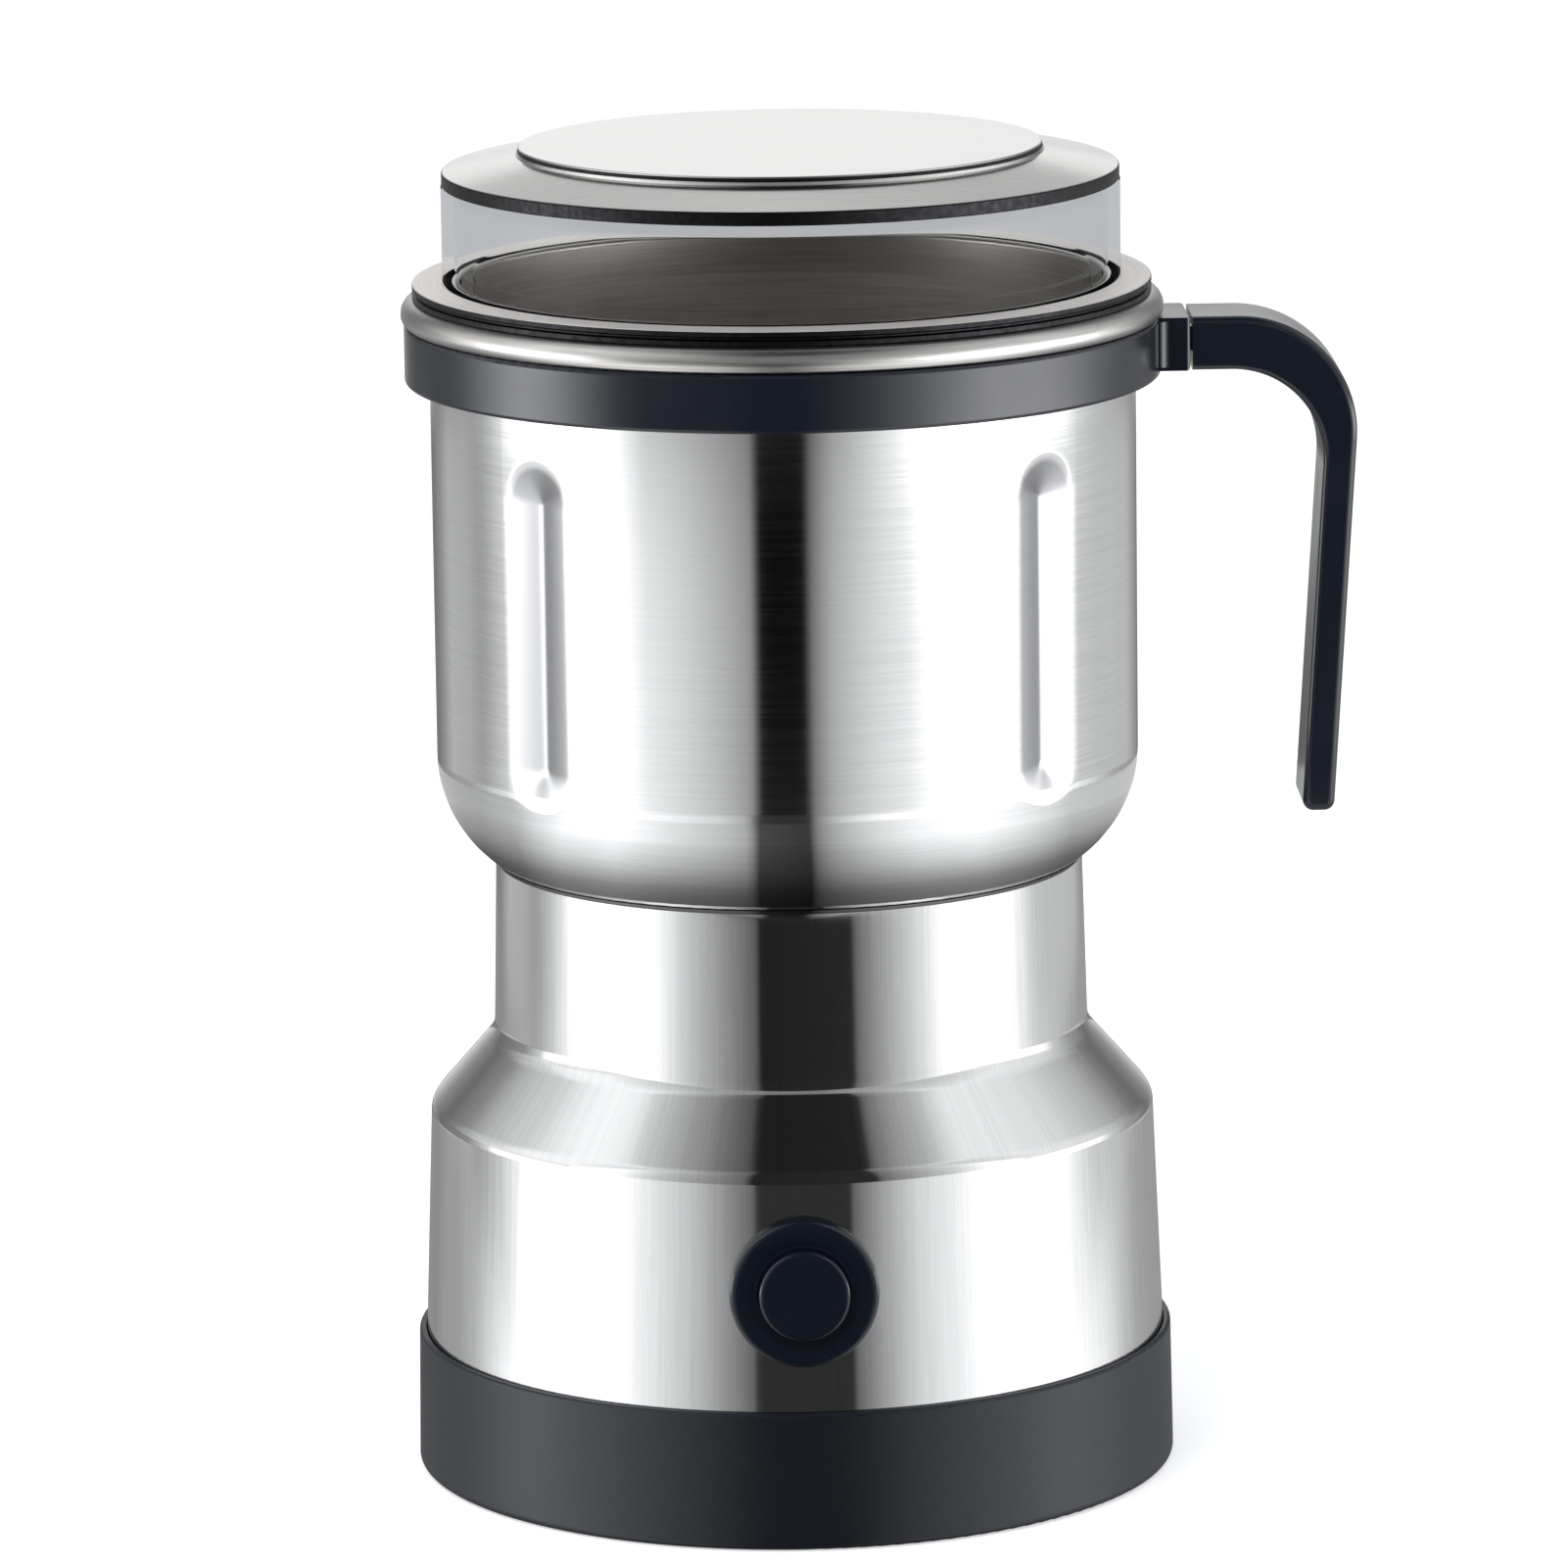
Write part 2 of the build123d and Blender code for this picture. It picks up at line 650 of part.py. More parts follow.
def make_lower_bracket():
    """The plastic lower bracket: bush boss, bar, two legs with feet, two brush blocks."""
    bar_top = lower_bush_top
    bar_bottom = bar_top - bracket_bar_thickness
    half_bar = bracket_bar_width / 2
    leg_outer = motor_bolt_circle + motor_bolt_margin
    leg_inner = leg_outer - bracket_leg_thickness
    foot_bottom = core_bottom - bracket_foot_thickness
    bracket = rod(bush_radius + bush_boss_wall, lower_bush_bottom, lower_bush_top)
    bracket += block(-half_bar, half_bar, -leg_outer, leg_outer, bar_bottom, bar_top)
    for side in (0, 180):
        leg = block(-half_bar, half_bar, leg_inner, leg_outer, bar_bottom, core_bottom)
        bracket += Rot(0, 0, side) * leg
    outside = rod(stator_radius, lower_bush_bottom, core_bottom)
    bracket = bracket & outside
    bolt_hole = Pos(motor_bolt_circle, 0, 0) * rod(
        motor_bolt_radius + fit_gap, foot_bottom, core_bottom)
    half_room = motor_bolt_head_radius + assembly_gap
    head_room = block(
        motor_bolt_circle - half_room, stator_radius, -half_room, half_room, bar_bottom, foot_bottom)
    half_block = brush_side / 2 + brush_holder_wall + brush_block_wall
    block_inner = commutator_radius + 2 * assembly_gap
    block_outer = block_inner + brush_holder_length + brush_block_end
    holder = holder_half() + fit_gap
    for side in (0, 180):
        body = block(block_inner + brush_block_inset, block_outer, -half_block, half_block,
                     bar_bottom, brush_z + half_block)
        body -= block(block_inner, block_outer - brush_block_end, -holder, holder,
                      brush_z - holder, brush_z + holder)
        bracket += Rot(0, 0, side) * body
    cross_bar = block_inner + bracket_bar_thickness / 2
    bracket += block(-cross_bar, cross_bar, -half_bar, half_bar, bar_bottom, bar_top)
    bracket -= around(2, bolt_hole, 90)
    bracket -= around(2, head_room, 90)
    bracket -= switch_room()
    bracket -= rod(bush_radius + fit_gap, lower_bush_bottom, lower_bush_top)
    return bracket


def switch_room():
    """The space that the switch body and its terminals need in front of the motor."""
    half = switch_body_width / 2 + assembly_gap
    back = bezel_front() - barrel_depth - switch_body_depth - assembly_gap
    terminal_bottom = switch_height - switch_body_width / 2 - terminal_length
    return block(-half, half, -skirt_radius, -back, terminal_bottom - assembly_gap, switch_height + half)


def holder_half():
    """Half the outside width of a brush holder."""
    return brush_side / 2 + running_gap + brush_holder_wall


def make_lower_bush():
    """The sintered bush in the lower bracket."""
    return ring(bush_radius, shaft_radius + running_gap, lower_bush_bottom, lower_bush_top)


def brush_box(half, near, far):
    """A square bar along +X at brush height."""
    return block(near, far, -half, half, brush_z - half, brush_z + half)


def make_brush_holders():
    """Two square brass tubes in the lower bracket's blocks."""
    near = commutator_radius + 2 * assembly_gap
    tube = brush_box(holder_half(), near, near + brush_holder_length)
    tube -= brush_box(brush_side / 2 + running_gap, near, near + brush_holder_length)
    return group(around(2, tube))


def make_carbon_brushes():
    """Two carbon brushes whose inner ends follow the commutator."""
    near = commutator_radius - edge_sag(commutator_radius, brush_side / 2)
    brush = brush_box(brush_side / 2, near, commutator_radius + running_gap + brush_length)
    brush -= rod(commutator_radius + running_gap, commutator_bottom, commutator_top)
    return group(around(2, brush))


def make_brush_springs():
    """Two coil springs that press the brushes on the commutator."""
    near = commutator_radius + running_gap + brush_length
    far = commutator_radius + 2 * assembly_gap + brush_holder_length
    spring = coil_spring(brush_spring_radius, brush_spring_wire, brush_spring_turns, far - near)
    return group(around(2, Pos(near, 0, brush_z) * Rot(0, 90, 0) * spring))


# ---------------------------------------------------------------------------
# Rotor
# ---------------------------------------------------------------------------
def make_motor_shaft():
    """The steel shaft: journals, two collars and the thinner spindle that carries the blades."""
    step = shaft_radius + collar_step
    spindle_bottom = bowl_floor + assembly_gap * 2
    nut_top = nut_bottom() + spindle_end
    shaft = rod(shaft_radius, fan_bottom, spindle_bottom)
    shaft += rod(step, lower_washer_top, commutator_bottom)
    shaft += rod(step, core_top + upper_collar_inset, upper_washer_bottom)
    return shaft + rod(spindle_radius, spindle_bottom, nut_top)


def armature_slot(widening):
    """One slot of the armature from its floor to the core's edge, made wider by a margin."""
    half = armature_slot_width / 2 + widening
    floor = armature_hub_radius - widening
    roof = armature_radius - armature_tooth_tip + widening
    pocket = block(floor + half, roof - half, -half, half, core_bottom, core_top)
    pocket += Pos(floor + half, 0, 0) * rod(half, core_bottom, core_top)
    return pocket + Pos(roof - half, 0, 0) * rod(half, core_bottom, core_top)


def make_armature_core():
    """The slotted lamination stack on the shaft."""
    core = ring(armature_radius, shaft_radius + fit_gap, core_bottom, core_top)
    mouth = block(
        armature_radius - armature_slot_width, armature_radius + armature_slot_width,
        -armature_slot_mouth / 2, armature_slot_mouth / 2, core_bottom, core_top)
    core -= around(armature_slots, armature_slot(0))
    return core - around(armature_slots, mouth)


def make_armature_winding():
    """The copper winding: a bar in each slot and a rounded end turn above and below the core."""
    end = winding_overhang - assembly_gap
    inner = shaft_radius + collar_step + assembly_gap
    rounding = end / 2 - coil_clearance
    low = turned(
        (inner, winding_bottom, winding_edge), (winding_radius, winding_bottom, rounding),
        (winding_radius, winding_bottom + end, rounding), (inner, winding_bottom + end, winding_edge))
    high = Pos(0, 0, core_top + assembly_gap - winding_bottom) * low
    coil_reach = 2 * assembly_gap
    bar = armature_slot(-coil_clearance)
    bar = bar + Pos(0, 0, coil_reach) * bar + Pos(0, 0, -coil_reach) * bar
    return low + high + around(armature_slots, bar)


def make_commutator():
    """The copper commutator with its bar slots."""
    body = ring(commutator_radius, shaft_radius + fit_gap, commutator_bottom, commutator_top)
    cut = block(
        commutator_radius - commutator_slot_depth, commutator_radius + commutator_slot_depth,
        -commutator_slot / 2, commutator_slot / 2, commutator_bottom, commutator_top - commutator_riser)
    return body - around(commutator_bars, cut)


def make_thrust_washers():
    """Two fibre washers, one against each bush."""
    inner = shaft_radius + fit_gap
    return group([
        ring(washer_radius, inner, lower_washer_bottom, lower_washer_top),
        ring(washer_radius, inner, upper_washer_bottom, upper_washer_top),
    ])


def make_cooling_fan():
    """The plastic fan on the lower end of the shaft: hub, disc and upright blades."""
    fan = ring(fan_hub_radius, shaft_radius + fit_gap, fan_bottom, fan_top)
    fan += ring(fan_radius, shaft_radius + fit_gap, fan_top - fan_disc_thickness, fan_top)
    blade = block(
        fan_hub_radius - blade_root_overlap, fan_radius - fan_disc_margin,
        -fan_blade_thickness / 2, fan_blade_thickness / 2,
        fan_bottom, fan_top - fan_disc_thickness / 2)
    return fan + around(fan_blade_count, blade)


def spindle_ring(radius, bottom, height):
    """A ring that fits the spindle."""
    return ring(radius, spindle_radius + fit_gap, bottom, bottom + height)


def lower_blade_bottom():
    """Height of the lower blade's underside at the spindle."""
    return bowl_floor + 2 * assembly_gap + lower_spacer_height


def upper_blade_bottom():
    """Height of the upper blade's underside at the spindle."""
    return lower_blade_bottom() + blade_thickness + upper_spacer_height


def nut_bottom():
    """Height of the blade nut's underside."""
    return upper_blade_bottom() + blade_thickness + blade_washer_thickness


def make_blade(bottom, bend, angle):
    """A twin blade: a flat middle on the spindle and two tapered wings bent upwards."""
    run = blade_wing * math.cos(math.radians(bend))
    climb = blade_wing * math.sin(math.radians(bend))
    tip = blade_flat + run
    lower = [(-tip, climb), (-blade_flat, 0), (blade_flat, 0), (tip, climb)]
    upper = [(x, z + blade_thickness) for x, z in reversed(lower)]
    root = blade_root_width / 2
    strip = extrude(Plane.XZ * make_face(Polyline(*lower, *upper, close=True)), root, both=True)
    end = blade_tip_width / 2
    plan = Polyline(
        (-tip, -end), (-blade_flat, -root), (blade_flat, -root), (tip, end * blade_edge_share),
        (tip, end), (blade_flat, root), (-blade_flat, root), (-tip, -end * blade_edge_share),
        close=True)
    outline = extrude(make_face(plan), climb + 2 * blade_thickness)
    blade = strip & outline
    blade -= rod(spindle_radius + fit_gap, 0, blade_thickness)
    return Rot(0, 0, angle) * Pos(0, 0, bottom) * blade


def make_blade_spacers():
    """Two spacers on the spindle, one under each blade."""
    return group([
        spindle_ring(spacer_radius, bowl_floor + 2 * assembly_gap, lower_spacer_height),
        spindle_ring(spacer_radius, lower_blade_bottom() + blade_thickness, upper_spacer_height),
    ])


def make_blade_washer():
    """The washer between the upper blade and the nut."""
    bottom = upper_blade_bottom() + blade_thickness
    return spindle_ring(blade_nut_radius + blade_washer_margin, bottom, blade_washer_thickness)


def make_blade_nut():
    """The domed hexagon nut on the end of the spindle."""
    bottom = nut_bottom()
    hexagon = extrude(RegularPolygon(blade_nut_radius, 6), blade_nut_height)
    dome = Pos(0, 0, blade_nut_height) * Sphere(blade_nut_radius * blade_nut_dome)
    above = block(-blade_nut_radius, blade_nut_radius, -blade_nut_radius, blade_nut_radius,
                  blade_nut_height, blade_nut_height + blade_nut_radius)
    nut = hexagon + (dome & above)
    bore = rod(spindle_radius + fit_gap, 0, spindle_end + assembly_gap)
    return Pos(0, 0, bottom) * (nut - bore)


# ---------------------------------------------------------------------------
# Cup
# ---------------------------------------------------------------------------
def groove_form(radius, extra):
    """One pressed groove: a V-shaped valley with round ends, made thicker all round by extra."""
    half = groove_half_width + extra
    depth = groove_depth + extra
    low = cup_bottom + groove_bottom_margin + groove_half_width
    high = collar_bottom - groove_top_margin - groove_half_width
    reach = groove_depth
    scale = (depth + reach) / depth
    outline = Polyline(
        (radius - depth, 0), (radius + reach, half * scale), (radius + reach, -half * scale), close=True)
    valley = Pos(0, 0, low) * extrude(make_face(outline), high - low)
    cone = Cone(half * scale, 0, depth + reach, align=STANDING)
    end = Pos(radius + reach, 0, 0) * Rot(0, -90, 0) * cone
    return valley + Pos(0, 0, low) * end + Pos(0, 0, high) * end


def make_cup_sleeve():
    """The steel outer sleeve: rounded floor, pressed grooves and the rolled rim on the collar."""
    sleeve = pressed([
        (boss_radius + assembly_gap, cup_bottom),
        (cup_radius, cup_bottom, cup_bottom_rounding),
        (cup_radius, collar_top, sleeve_bend),
        (rim_radius, collar_top, rim_lower_rounding),
        (rim_radius, flange_bottom, rim_upper_rounding),
        (bowl_outer + rim_lap, flange_bottom),
    ], steel_wall)
    inside = rod(cup_radius - steel_wall / 2, cup_bottom, collar_bottom)
    backing = groove_form(cup_radius, steel_wall) & inside
    sleeve += around(groove_count, backing, groove_first_angle)
    return sleeve - around(groove_count, groove_form(cup_radius, 0), groove_first_angle)


def make_grinding_bowl():
    """The inner bowl: floor with screw holes, rounded wall and the flange that closes the cup."""
    notch = flange_bottom + flange_height / 2
    bowl = turned(
        (shaft_radius + bowl_hole_gap, bowl_underside),
        (bowl_outer, bowl_underside, bowl_rounding + bowl_wall),
        (bowl_outer, flange_bottom),
        (flange_radius, flange_bottom, flange_lower_edge),
        (flange_radius, notch - flange_groove_half - flange_groove_slope),
        (flange_radius - flange_groove, notch - flange_groove_half),
        (flange_radius - flange_groove, notch + flange_groove_half),
        (flange_radius, notch + flange_groove_half + flange_groove_slope),
        (flange_radius, flange_top, flange_upper_edge),
        (mouth_radius, flange_top, mouth_edge),
        (mouth_radius, bowl_floor, bowl_rounding),
        (shaft_radius + bowl_hole_gap, bowl_floor),
    )
    hole = Pos(bowl_screw_circle, 0, 0) * rod(bowl_screw_radius + fit_gap, bowl_underside, bowl_floor)
    return bowl - around(bowl_screw_count, hole, 45)


def make_bowl_screws():
    """Four screws through the bowl's floor into the motor frame."""
    tip = bowl_underside - bowl_screw_length + assembly_gap
    head_top = bowl_floor + bowl_screw_head_height
    head = rod(bowl_screw_head_radius, bowl_floor, head_top)
    head = fillet(head.edges().group_by(Axis.Z)[-1], bowl_screw_edge)
    screw = head + rod(bowl_screw_radius, tip, bowl_floor)
    screw -= cross_recess(bowl_screw_head_radius, head_top)
    return group(around(bowl_screw_count, Pos(bowl_screw_circle, 0, 0) * screw, 45))


def make_collar():
    """The black collar round the sleeve, with the handle's lug and tongue."""
    band = turned(
        (cup_radius + sliding_gap, collar_bottom), (collar_radius, collar_bottom, collar_edge),
        (collar_radius, collar_top, collar_edge),
        (cup_radius + sliding_gap, collar_top, sleeve_bend + sliding_gap))
    half = handle_width / 2
    arm_bottom = collar_top - arm_height
    lug = block(cup_radius, lug_end, -half, half, arm_bottom, collar_top)
    lug = fillet(lug.edges().group_by(Axis.X)[-1], collar_edge)
    lug += lug_blends(half, arm_bottom)
    tongue_bottom = arm_bottom + tongue_rise + fit_gap
    tongue = block(
        collar_radius, lug_end + tongue_length, -tongue_width / 2, tongue_width / 2,
        tongue_bottom, tongue_bottom + tongue_height)
    pilot = Pos(handle_screw_x(), 0, 0) * rod(
        handle_screw_radius + fit_gap, tongue_bottom, tongue_bottom + tongue_height)
    lug -= rod(cup_radius + sliding_gap + sleeve_bend, collar_bottom, collar_top)
    return band + lug + tongue - pilot


def lug_blends(half, arm_bottom):
    """The concave webs that fill the corners between the collar and the lug's two sides."""
    root = math.sqrt(collar_radius**2 - half**2)
    low = arm_bottom + collar_edge
    web = block(cup_radius, root + lug_blend, half, half + lug_blend, low, collar_top - collar_edge)
    round_off = Pos(root + lug_blend, half + lug_blend, low) * Cylinder(
        lug_blend, arm_height, align=STANDING)
    web -= round_off
    return web + mirror(web, Plane.XZ)


def handle_screw_x():
    """Distance of the handle's screw from the shaft axis."""
    return lug_end + tongue_length / 2


def make_handle():
    """The black strap handle: arm, bend and grip that leans inwards, with a socket for the tongue."""
    half = handle_width / 2
    start = lug_end + joint_gap
    lean = math.tan(math.radians(grip_lean))
    corner = collar_radius + handle_reach
    arm_bottom = collar_top - arm_height
    end = arm_bottom - grip_length
    outer_end = corner - (collar_top - end) * lean
    across = grip_thickness / math.cos(math.radians(grip_lean))
    inner_corner = corner - arm_height * lean - across
    outline = FilletPolyline(
        (start, arm_bottom), (inner_corner, arm_bottom), (outer_end - across, end), (outer_end, end),
        (corner, collar_top), (start, collar_top),
        radius=[0, inner_bend, grip_end_rounding, grip_end_rounding, outer_bend, 0], close=True)
    strap = extrude(Plane.XZ * make_face(outline), half, both=True)
    rims = strap.faces().filter_by(Axis.Y).edges().filter_by(lambda edge: edge.center().X > start + joint_gap)
    strap = fillet(rims, handle_edge)
    tongue_bottom = arm_bottom + tongue_rise
    socket = block(
        start, lug_end + tongue_length + assembly_gap,
        -tongue_width / 2 - fit_gap, tongue_width / 2 + fit_gap,
        tongue_bottom, tongue_bottom + tongue_height + 2 * fit_gap)
    screw_hole = Pos(handle_screw_x(), 0, 0) * rod(handle_screw_radius + fit_gap, arm_bottom, tongue_bottom)
    recess = Pos(handle_screw_x(), 0, 0) * rod(
        handle_screw_head_radius + fit_gap, arm_bottom,
        arm_bottom + handle_screw_inset + handle_screw_head_height)
    return strap - socket - screw_hole - recess


def make_handle_screw():
    """The screw from below the arm into the collar's tongue."""
    arm_bottom = collar_top - arm_height
    head_bottom = arm_bottom + handle_screw_inset
    head_top = head_bottom + handle_screw_head_height
    tip = arm_bottom + tongue_rise + tongue_height
    screw = rod(handle_screw_head_radius, head_bottom, head_top) + rod(handle_screw_radius, head_top, tip)
    screw -= cross_recess(handle_screw_head_radius, head_bottom)
    return Pos(handle_screw_x(), 0, 0) * screw


# ---------------------------------------------------------------------------
# Lid
# ---------------------------------------------------------------------------
def make_lid_shell():
    """The clear plastic lid: wall, foot on the flange, spigot in the mouth and roof under the cap."""
    spigot_outer = mouth_radius - spigot_gap
    spigot_inner = spigot_outer - spigot_wall
    wall_inner = lid_radius - lid_wall
    cap_inner = lid_radius - cap_lip_inset - steel_wall - cap_pad_gap
    return turned(
        (spigot_inner, flange_top - spigot_depth, spigot_edge),
        (spigot_outer, flange_top - spigot_depth, spigot_edge),
        (spigot_outer, flange_top),
        (lid_radius, flange_top, lid_foot_edge),
        (lid_radius, lid_top),
        (cap_inner, lid_top),
        (cap_inner, lid_top + cap_lip_height - steel_wall),
        (0, lid_top + cap_lip_height - steel_wall),
        (0, lid_top - lid_roof),
        (wall_inner, lid_top - lid_roof, lid_inner_rounding),
        (wall_inner, flange_top + lid_foot_thickness, lid_foot_rounding),
        (spigot_inner, flange_top + lid_foot_thickness, lid_foot_rounding),
    )


def make_lid_cap():
    """The pressed steel cap: lip, shallow cone and raised flat top."""
    lip_radius = lid_radius - cap_lip_inset
    return pressed([
        (lip_radius, lid_top),
        (lip_radius, cap_shoulder, cap_edge_rounding),
        (cap_step_radius + cap_step_slope, cap_cone_top),
        (cap_step_radius, cap_top, cap_step_edge),
        (0, cap_top),
    ], steel_wall)


# ---------------------------------------------------------------------------
# Push button switch.  Depths are measured from the shaft axis towards the front.
# ---------------------------------------------------------------------------
def button_rod(radius, front, back):
    """A round bar along the button's axis, from its front distance back towards the shaft."""
    return Pos(0, -back, switch_height) * Rot(90, 0, 0) * Cylinder(radius, front - back, align=STANDING)


def bezel_front():
    """Distance from the shaft axis to the bezel's rim."""
    return wall_radius(switch_height) + bezel_proud


def make_switch_bezel():
    """The black round bezel that stands on the curved wall, with its barrel and guide."""
    front = bezel_front()
    back = front - barrel_depth
    wall = wall_radius(switch_height)
    disc = button_rod(bezel_radius, front, wall - 2 * bezel_proud)
    disc = fillet(disc.edges().group_by(Axis.Y)[0], bezel_edge)
    wall_form = turned(
        (0, base_height), (skirt_radius + fit_gap, base_height),
        (shoulder_radius + fit_gap, shoulder_height), (0, shoulder_height))
    disc -= wall_form
    bezel = disc + button_rod(barrel_radius, front - bezel_proud / 2, back)
    dish = Pos(0, -front, switch_height) * Rot(90, 0, 0) * Cone(
        button_radius + bezel_dish_foot, bezel_radius - bezel_edge - bezel_rim_land, bezel_dish,
        align=(Align.CENTER, Align.CENTER, Align.MAX))
    bezel -= dish
    bezel -= button_rod(button_radius + sliding_gap, front, front - button_land)
    return bezel - button_rod(button_flange_radius + sliding_gap, front - button_land, back)


def make_push_button():
    """The black push button: rounded face, rear flange and stem."""
    front = bezel_front() + button_proud
    flange_front = bezel_front() - button_land - sliding_gap
    flange_back = flange_front - button_flange_thickness
    stem_end = bezel_front() - barrel_depth + button_travel + button_stem_spare
    cap = button_rod(button_radius, front, flange_back)
    cap = fillet(cap.edges().group_by(Axis.Y)[0], button_edge)
    button = cap + button_rod(button_flange_radius, flange_front, flange_back)
    return button + button_rod(button_stem_radius, flange_back, stem_end)


def make_switch_spring():
    """The return spring between the button's flange and the switch body."""
    flange_back = bezel_front() - button_land - sliding_gap - button_flange_thickness
    back = bezel_front() - barrel_depth
    spring = coil_spring(
        switch_spring_radius, switch_spring_wire / 2, switch_spring_turns, flange_back - back - 2 * fit_gap)
    return Pos(0, -back - fit_gap, switch_height) * Rot(90, 0, 0) * spring


def make_switch_nut():
    """The hexagon nut that holds the bezel from inside the housing."""
    inner_wall = wall_radius(switch_height) - steel_wall
    front = inner_wall - edge_sag(inner_wall, switch_nut_radius) - assembly_gap
    nut = Pos(0, -front, switch_height) * Rot(90, 0, 0) * extrude(
        RegularPolygon(switch_nut_radius, 6), -switch_nut_thickness)
    return nut - button_rod(barrel_radius + fit_gap, front, front - switch_nut_thickness)


def make_switch_body():
    """The switch's contact box behind the bezel's barrel."""
    front = bezel_front() - barrel_depth
    half = switch_body_width / 2
    body = block(
        -half, half, -front, -front + switch_body_depth, switch_height - half, switch_height + half)
    return fillet(body.edges().filter_by(Axis.Y), switch_body_edge)


def make_switch_terminals():
    """Two tin-plated blades under the contact box."""
    middle = -(bezel_front() - barrel_depth) + switch_body_depth / 2
    top = switch_height - switch_body_width / 2
    blades = [
        block(x - terminal_width / 2, x + terminal_width / 2, middle - terminal_thickness / 2,
              middle + terminal_thickness / 2, top - terminal_length, top)
        for x in (-terminal_spacing / 2, terminal_spacing / 2)
    ]
    return group(blades)


# ---------------------------------------------------------------------------
# The parts and their files
# ---------------------------------------------------------------------------
parts = {
    "base_shell": make_base_shell(),
    "rubber_feet": make_rubber_feet(),
    "base_screws": make_base_screws(),
    "cord_gland": make_cord_gland(),
    "suppression_capacitor": make_suppression_capacitor(),
    "motor_housing": make_motor_housing(),
    "upper_motor_frame": make_upper_frame(),
    "upper_bush": make_upper_bush(),
    "shaft_seal": make_shaft_seal(),
    "stator_core": make_stator_core(),
    "field_coils": make_field_coils(),
    "motor_bolts": make_motor_bolts(),
    "lower_motor_bracket": make_lower_bracket(),
    "lower_bush": make_lower_bush(),
    "brush_holders": make_brush_holders(),
    "carbon_brushes": make_carbon_brushes(),
    "brush_springs": make_brush_springs(),
    "motor_shaft": make_motor_shaft(),
    "armature_core": make_armature_core(),
    "armature_winding": make_armature_winding(),
    "commutator": make_commutator(),
    "thrust_washers": make_thrust_washers(),
    "cooling_fan": make_cooling_fan(),
    "lower_blade": make_blade(lower_blade_bottom(), lower_blade_bend, lower_blade_angle),
    "upper_blade": make_blade(upper_blade_bottom(), upper_blade_bend, upper_blade_angle),
    "blade_spacers": make_blade_spacers(),
    "blade_washer": make_blade_washer(),
    "blade_nut": make_blade_nut(),
    "cup_sleeve": make_cup_sleeve(),
    "grinding_bowl": make_grinding_bowl(),
    "bowl_screws": make_bowl_screws(),
    "collar": make_collar(),
    "handle": make_handle(),
    "handle_screw": make_handle_screw(),
    "lid_shell": make_lid_shell(),
    "lid_cap": make_lid_cap(),
    "switch_bezel": make_switch_bezel(),
    "push_button": make_push_button(),
    "switch_spring": make_switch_spring(),
    "switch_nut": make_switch_nut(),
    "switch_body": make_switch_body(),
    "switch_terminals": make_switch_terminals(),
}

os.makedirs("parts", exist_ok=True)
for name, shape in parts.items():
    export_step(shape, f"parts/{name}.step")
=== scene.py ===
"""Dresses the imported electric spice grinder: new cup, bowl and lid surfaces, and a finish for every other piece.

Lengths in the dataclass fields are millimetres, and meshes are written in metres.
"""
import logging
import math
from abc import ABC, abstractmethod
from dataclasses import dataclass
from enum import Enum
from typing import Sequence

import bpy
import numpy as np
from mathutils import Matrix, Vector


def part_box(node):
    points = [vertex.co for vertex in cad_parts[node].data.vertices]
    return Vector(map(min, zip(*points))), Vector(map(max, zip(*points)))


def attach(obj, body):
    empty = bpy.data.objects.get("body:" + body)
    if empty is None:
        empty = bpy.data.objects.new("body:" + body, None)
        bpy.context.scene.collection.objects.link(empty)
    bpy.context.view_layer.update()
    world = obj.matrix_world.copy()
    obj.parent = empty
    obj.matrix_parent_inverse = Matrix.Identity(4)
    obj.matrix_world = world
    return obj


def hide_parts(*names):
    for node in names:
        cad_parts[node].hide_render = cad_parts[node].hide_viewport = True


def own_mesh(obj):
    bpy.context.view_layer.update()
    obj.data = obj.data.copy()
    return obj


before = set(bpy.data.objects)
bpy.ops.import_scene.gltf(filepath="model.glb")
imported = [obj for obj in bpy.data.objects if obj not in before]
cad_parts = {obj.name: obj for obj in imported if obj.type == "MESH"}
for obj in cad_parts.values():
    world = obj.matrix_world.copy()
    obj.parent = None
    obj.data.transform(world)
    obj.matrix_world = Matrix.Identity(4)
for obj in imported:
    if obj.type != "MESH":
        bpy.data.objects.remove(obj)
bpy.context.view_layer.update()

MM = 0.001
TOLERANCE = 1e-6
SHARP_ANGLE = math.radians(35.0)
NOMINAL_RADIUS = 0.045       # metres; marks that turn round the axis keep their pitch at this distance from it
NOISE_RANGE = {"From Min": 0.3, "From Max": 0.7}   # noise values mostly lie between these

log = logging.getLogger("spice_grinder")

Point = tuple[float, float]
Corner = tuple[float, float, float]
Colour = tuple[float, float, float, float]
Stops = tuple[tuple[float, float], ...]
Inputs = dict[str | int, object]
Tree = bpy.types.NodeTree
Material = bpy.types.Material
Link = bpy.types.Node | bpy.types.NodeSocket


class Body(Enum):
    """The bodies that the new pieces ride on."""

    ROOT = "root"
    LID = "lid"


class Slot(Enum):
    """The record's material slots that the new pieces take their finish from."""

    STEEL = "brushed_stainless_steel"
    CLEAR = "clear_acrylonitrile_styrene"
    SPRING = "spring_steel"


